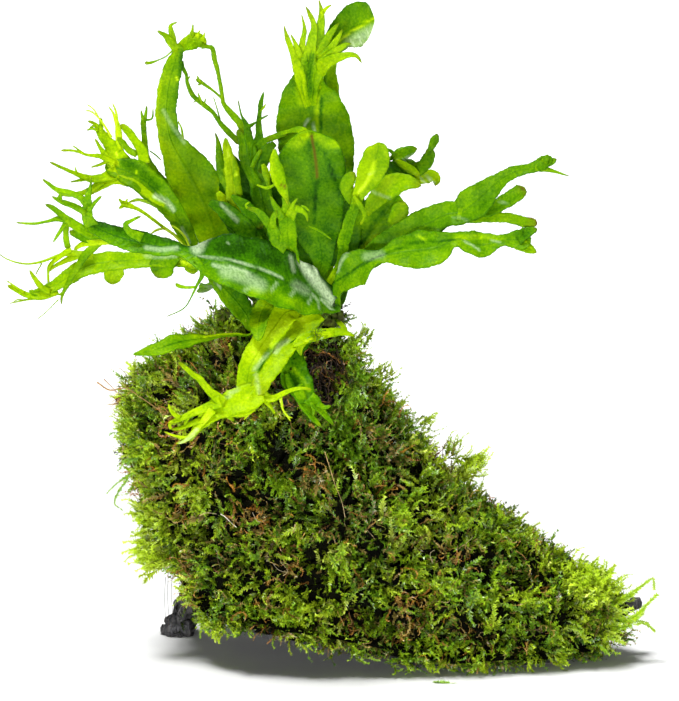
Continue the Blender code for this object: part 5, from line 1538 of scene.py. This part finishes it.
            # U is the tone. V is the level of painted shade, lowered by light for sunk shoots and for gaps.
            u = tones[chosen][:, None] + np.where(tones[chosen][:, None] > 0.22, shifts, 0)
            v = light[chosen][:, None] * shade_levels
            all_uvs.append(np.stack([np.clip(u, 0, 1), np.clip(v, 0, 1)], -1).reshape(-1, 2))
        for strand, tone, leaf in MOSS_STRANDS if name == "moss_front_toe" else ():
            corners, shade_levels, shifts = leafy(
                rng, smooth_run(seen(*strand), 0.5 * LEAF_SPACING)[:, :3], leaf, 0.1, (0.05, -1, 0.2))
            all_points.append(place(corners).reshape(-1, 3))
            all_uvs.append(np.stack([tone + shifts, np.clip(shade_levels + 0.3, 0, 1)], -1))
        points_all = np.vstack(all_points)
        points_all[:, 2] = np.maximum(points_all[:, 2], 0.0002)
        faces = np.arange(len(points_all)).reshape(-1, 3)
        mesh = fill_mesh(name, points_all, faces)
        layer = mesh.uv_layers.new(name="OFBake")
        layer.data.foreach_set("uv", np.vstack(all_uvs).astype(np.float32).ravel())
        mesh.materials.append(material)
        piece = bpy.data.objects.new(name, mesh)
        bpy.context.scene.collection.objects.link(piece)
        print(name, len(faces), file=sys.stderr)
        ready(piece, "moss", "moss_coat")
    build_strands(points, normals, rng)


def grow_tufts(coat, rng):
    """Extra shoots of moss where the photograph shows bright tufts: where they stand, the way
    that they point, their tones and their sizes. A depth of None is the coat's own."""
    parts = []
    for px, py, depth, radius, count, way, size, tone in MOSS_TUFTS:
        middle = np.array(seen((px, py, NEAR_DEPTH if depth is None else depth, 1))[0][:3])
        if depth is None:
            hit = coat.ray_cast(Vector(place(middle)), Vector((0, 1, -LOOK_DOWN)))[0]
            middle = np.array(hit) / MM + ORIGIN + np.array((0, TUFT_SINK, 0))
        spread = rng.normal(size=(count, 3)) * radius * 0.5
        pointed = unit(unit(way) + rng.normal(0, 0.24, (count, 3)))
        parts.append((place(middle + spread), pointed, rng.normal(tone, 0.06, count),
                      rng.uniform(0.75, 1.15, count) * size))
    return [np.concatenate(part) for part in zip(*parts)]


def build_strands(points, normals, rng):
    """Curled dead stems of moss on its face, and the hairs that stand out of it."""
    mesh = Mesh()
    weight = np.max(near(points, normals, MOSS_BROWN), axis=0) + 0.05
    chosen = rng.choice(len(points), STRAND_COUNT, p=weight / weight.sum())
    for i in chosen:
        start = points[i] / MM + ORIGIN - normals[i] * rng.uniform(-0.3, 1.2)
        tangent = unit(np.cross(normals[i], rng.normal(size=3)))
        beside = np.cross(normals[i], tangent)
        t = np.linspace(0, 1, 10)[:, None]
        turn = rng.uniform(1.5, 5.5) * t + rng.uniform(0, 6)
        length = rng.uniform(2, 5.5)
        path = (start + tangent * length * t + beside * np.sin(turn) * length * 0.22
                + normals[i] * np.cos(turn * 1.3) * 0.7)
        path[:, 2] = np.maximum(path[:, 2], 0.3)
        add_tube(mesh, path, rng.uniform(0.06, 0.12), rng.uniform(0.3, 0.8))
    for strand, radius, tone in HAIRS:
        add_tube(mesh, smooth_run(seen(*strand), 0.8)[:, :3], radius, tone)
    piece = mesh.build("moss_strands", ("tone",))
    piece.data.materials.append(strand_material("moss_strands"))
    ready(piece, "moss", "moss_coat")


def add_tube(mesh, path, radius, tone):
    """Adds a thin round strand along a line; its tone is lighter toward the end."""
    path = np.asarray(path, float)
    direction = unit(np.gradient(path, axis=0))
    side = unit(np.cross(direction, (0.31, 0.52, 0.79)))
    other = np.cross(direction, side)
    angles = np.linspace(0, 2 * math.pi, TUBE_SIDES + 1)
    thin = radius * np.linspace(1, 0.55, len(path))[:, None, None]
    ring = (side[:, None] * np.cos(angles)[None, :, None]
            + other[:, None] * np.sin(angles)[None, :, None]) * thin
    values = np.broadcast_to(tone + 0.08 * np.linspace(0, 1, len(path))[:, None, None],
                             (len(path), TUBE_SIDES + 1, 1))
    mesh.add_grid(path[:, None] + ring, values)


def build_mat(node, skin):
    """The moss's dark layer of painted shade: the coat's own form with its outer skin sunk and roughened."""
    piece = sunk_copy(node, "moss_mat", skin, MAT_DEPTH)
    piece.data.materials.append(shade_layer_material())
    ready(piece, "moss", "moss_coat")


def sunk_copy(node, name, skin, depth):
    """A copy of a node whose outer skin is sunk by a depth, give or take a quarter of it."""
    mesh = node.data.copy()
    mesh.name = name
    count = len(mesh.vertices)
    points = np.zeros(count * 3)
    mesh.vertices.foreach_get("co", points)
    points = points.reshape(-1, 3)
    normals = np.zeros_like(points)
    for i in range(3):
        np.add.at(normals, skin[1][:, i], skin[2] * skin[3][:, None])
    outer = np.linalg.norm(normals, axis=1) > 0
    normals = unit(normals)
    depths = depth * (1 + 0.25 * smooth_field(points, 6, 9)[outer])
    points[outer] -= normals[outer] * depths[:, None] * MM
    points[:, 2] = np.maximum(points[:, 2], 0.0004)
    mesh.vertices.foreach_set("co", points.ravel())
    mesh.materials.clear()
    mesh.update()
    piece = bpy.data.objects.new(name, mesh)
    bpy.context.scene.collection.objects.link(piece)
    return piece


# Roots


def build_roots():
    """Fine brown fibres that hang from the rhizome over the moss, on a dark mat."""
    node = frame["nodes"]["fern_roots"]
    skin = outer_skin(node, [])
    mat = sunk_copy(node, "root_mat", skin, 1.1)
    mat.data.materials.append(shade_layer_material())
    ready(mat, "roots", "fern_roots")
    tree = tree_of(node)
    rng = np.random.default_rng(5)
    mesh = Mesh()
    points, normals = scatter(skin, ROOT_COUNT, rng)
    for point, normal in zip(points, normals):
        if normal[1] > 0.3:
            continue
        heading = np.array((rng.normal(0, 0.6), 0, -1.0))
        path = []
        here = point
        turn = rng.normal(0, 0.25)
        for _ in range(int(rng.uniform(6, 18))):
            nearest, facing, *_ = tree.find_nearest(Vector(here))
            lifted = np.array(nearest) + np.array(facing) * rng.uniform(-0.5, 0.5) * MM
            path.append(lifted)
            heading = unit(heading + np.array((turn, 0, -0.1)) + rng.normal(0, 0.3, 3))
            here = lifted + heading * 1.1 * MM
        add_tube(mesh, np.array(path) / MM + ORIGIN, rng.uniform(0.1, 0.24),
                 rng.choice((0.05, 0.14, 0.24, 0.36, 0.5), p=(0.3, 0.25, 0.2, 0.15, 0.1)))
    piece = mesh.build("root_fibres", ("tone",))
    piece.data.materials.append(strand_material("root_fibres"))
    ready(piece, "roots", "fern_roots")


# Stage


def build_stage():
    bpy.ops.mesh.primitive_plane_add(size=6)
    floor = bpy.context.object
    floor.name = "floor"
    nodes = Nodes("floor")
    away = nodes.add("VectorMath", {0: nodes.add("TexCoord").outputs["Object"]},
                     operation="LENGTH").outputs["Value"]
    glow = nodes.ramp(nodes.math("MULTIPLY", away, 0.5), *FLOOR_GLOW)
    floor.data.materials.append(nodes.shade(
        Base_Color=(0.74, 0.74, 0.74), Roughness=0.9, Specular_IOR_Level=0.1,
        Emission_Color=(1.0, 1.0, 1.0), Emission_Strength=glow))
    world = bpy.data.worlds.new("studio")
    world.use_nodes = True
    tree = world.node_tree
    where = tree.nodes.new("ShaderNodeTexCoord")
    split = tree.nodes.new("ShaderNodeSeparateXYZ")
    fade = tree.nodes.new("ShaderNodeMapRange")
    tree.links.new(where.outputs["Generated"], split.inputs[0])
    tree.links.new(split.outputs["Y"], fade.inputs["Value"])
    for socket, value in zip(("From Min", "From Max", "To Min", "To Max"), WORLD_FADE):
        fade.inputs[socket].default_value = value
    background = tree.nodes["Background"]
    background.inputs["Color"].default_value = (1, 1, 1, 1)
    tree.links.new(fade.outputs["Result"], background.inputs["Strength"])
    bpy.context.scene.world = world


def add_softbox(name, position, size, power):
    lamp = bpy.data.lights.new(name, "AREA")
    lamp.shape = "ELLIPSE"
    lamp.size = size
    lamp.size_y = BOX_HEIGHT
    lamp.energy = power
    made = bpy.data.objects.new(name, lamp)
    bpy.context.scene.collection.objects.link(made)
    made.location = position
    aim = Vector((0, 0, 0.1)) - made.location
    made.rotation_euler = aim.to_track_quat("-Z", "Y").to_euler()


def add_sun():
    """The main light, wide and soft, from above and a little from the back."""
    lamp = bpy.data.lights.new("top_light", "SUN")
    lamp.angle = SUN_WIDTH
    lamp.energy = SUN_STRENGTH
    made = bpy.data.objects.new("top_light", lamp)
    bpy.context.scene.collection.objects.link(made)
    made.rotation_euler = (-Vector(SUN_FROM)).to_track_quat("-Z", "Y").to_euler()


def build_camera():
    camera = bpy.data.cameras.new("camera")
    camera.sensor_width = SENSOR
    camera.lens = SENSOR * CAMERA_DISTANCE / FRAME_HEIGHT
    made = bpy.data.objects.new("camera", camera)
    bpy.context.scene.collection.objects.link(made)
    target = Vector(place(CAMERA_TARGET))
    away = Vector((0, -math.cos(CAMERA_ELEVATION), math.sin(CAMERA_ELEVATION)))
    made.location = target + away * CAMERA_DISTANCE
    made.rotation_euler = (-away).to_track_quat("-Z", "Y").to_euler()
    bpy.context.scene.camera = made


def build_heel(wood):
    """The bare heel leg, with its knobs and cracks raised from the plain form."""
    mesh = frame["nodes"]["driftwood_heel"].data.copy()
    mesh.name = "heel_rough"
    edit = bmesh.new()
    edit.from_mesh(mesh)
    bmesh.ops.subdivide_edges(edit, edges=edit.edges, cuts=5, use_grid_fill=True)
    edit.normal_update()
    points = np.array([vertex.co for vertex in edit.verts])
    normals = np.array([vertex.normal for vertex in edit.verts])
    raised = (1.1 * smooth_field(points, 7, 21) + 0.6 * smooth_field(points, 2.6, 22)
              + 0.25 * smooth_field(points, 1.2, 23) - 1.1) * MM
    points += normals * raised[:, None]
    points[:, 0] += HEEL_SQUEEZE * (points[:, 0].max() - points[:, 0])
    for vertex, point in zip(edit.verts, points):
        vertex.co = (point[0], point[1], max(point[2], 0))
    edit.to_mesh(mesh)
    edit.free()
    mesh.materials.clear()
    mesh.materials.append(wood)
    mesh.shade_smooth()
    piece = bpy.data.objects.new("heel_rough", mesh)
    bpy.context.scene.collection.objects.link(piece)
    ready(piece, "wood", "driftwood_heel")


def dress_nodes():
    wood = wood_material()
    for name in ("driftwood_trunk", "driftwood_toe"):
        set_material(frame["nodes"][name], wood)
    build_heel(wood)
    set_material(frame["nodes"]["fern_rhizome"], rhizome_material())


def set_material(node, material):
    node.data.materials.clear()
    node.data.materials.append(material)


def main():
    bpy.context.scene.view_settings.view_transform = "Standard"
    build_camera()
    build_stage()
    add_sun()
    add_softbox("left_light", (-0.75, -1.05, 0.055), 0.5, 11)
    add_softbox("right_light", (0.85, -1.0, 0.055), 0.5, 8)
    add_softbox("front_light", (0.0, -1.5, 0.055), 0.4, 9)
    dress_nodes()
    looks = {look: leaf_material("leaf_" + look, look) for look in LEAF_LOOKS}
    for number, leaf in enumerate(LEAVES):
        build_leaf(leaf, looks[leaf.look], 100 + number)
    build_moss()
    build_roots()


main()
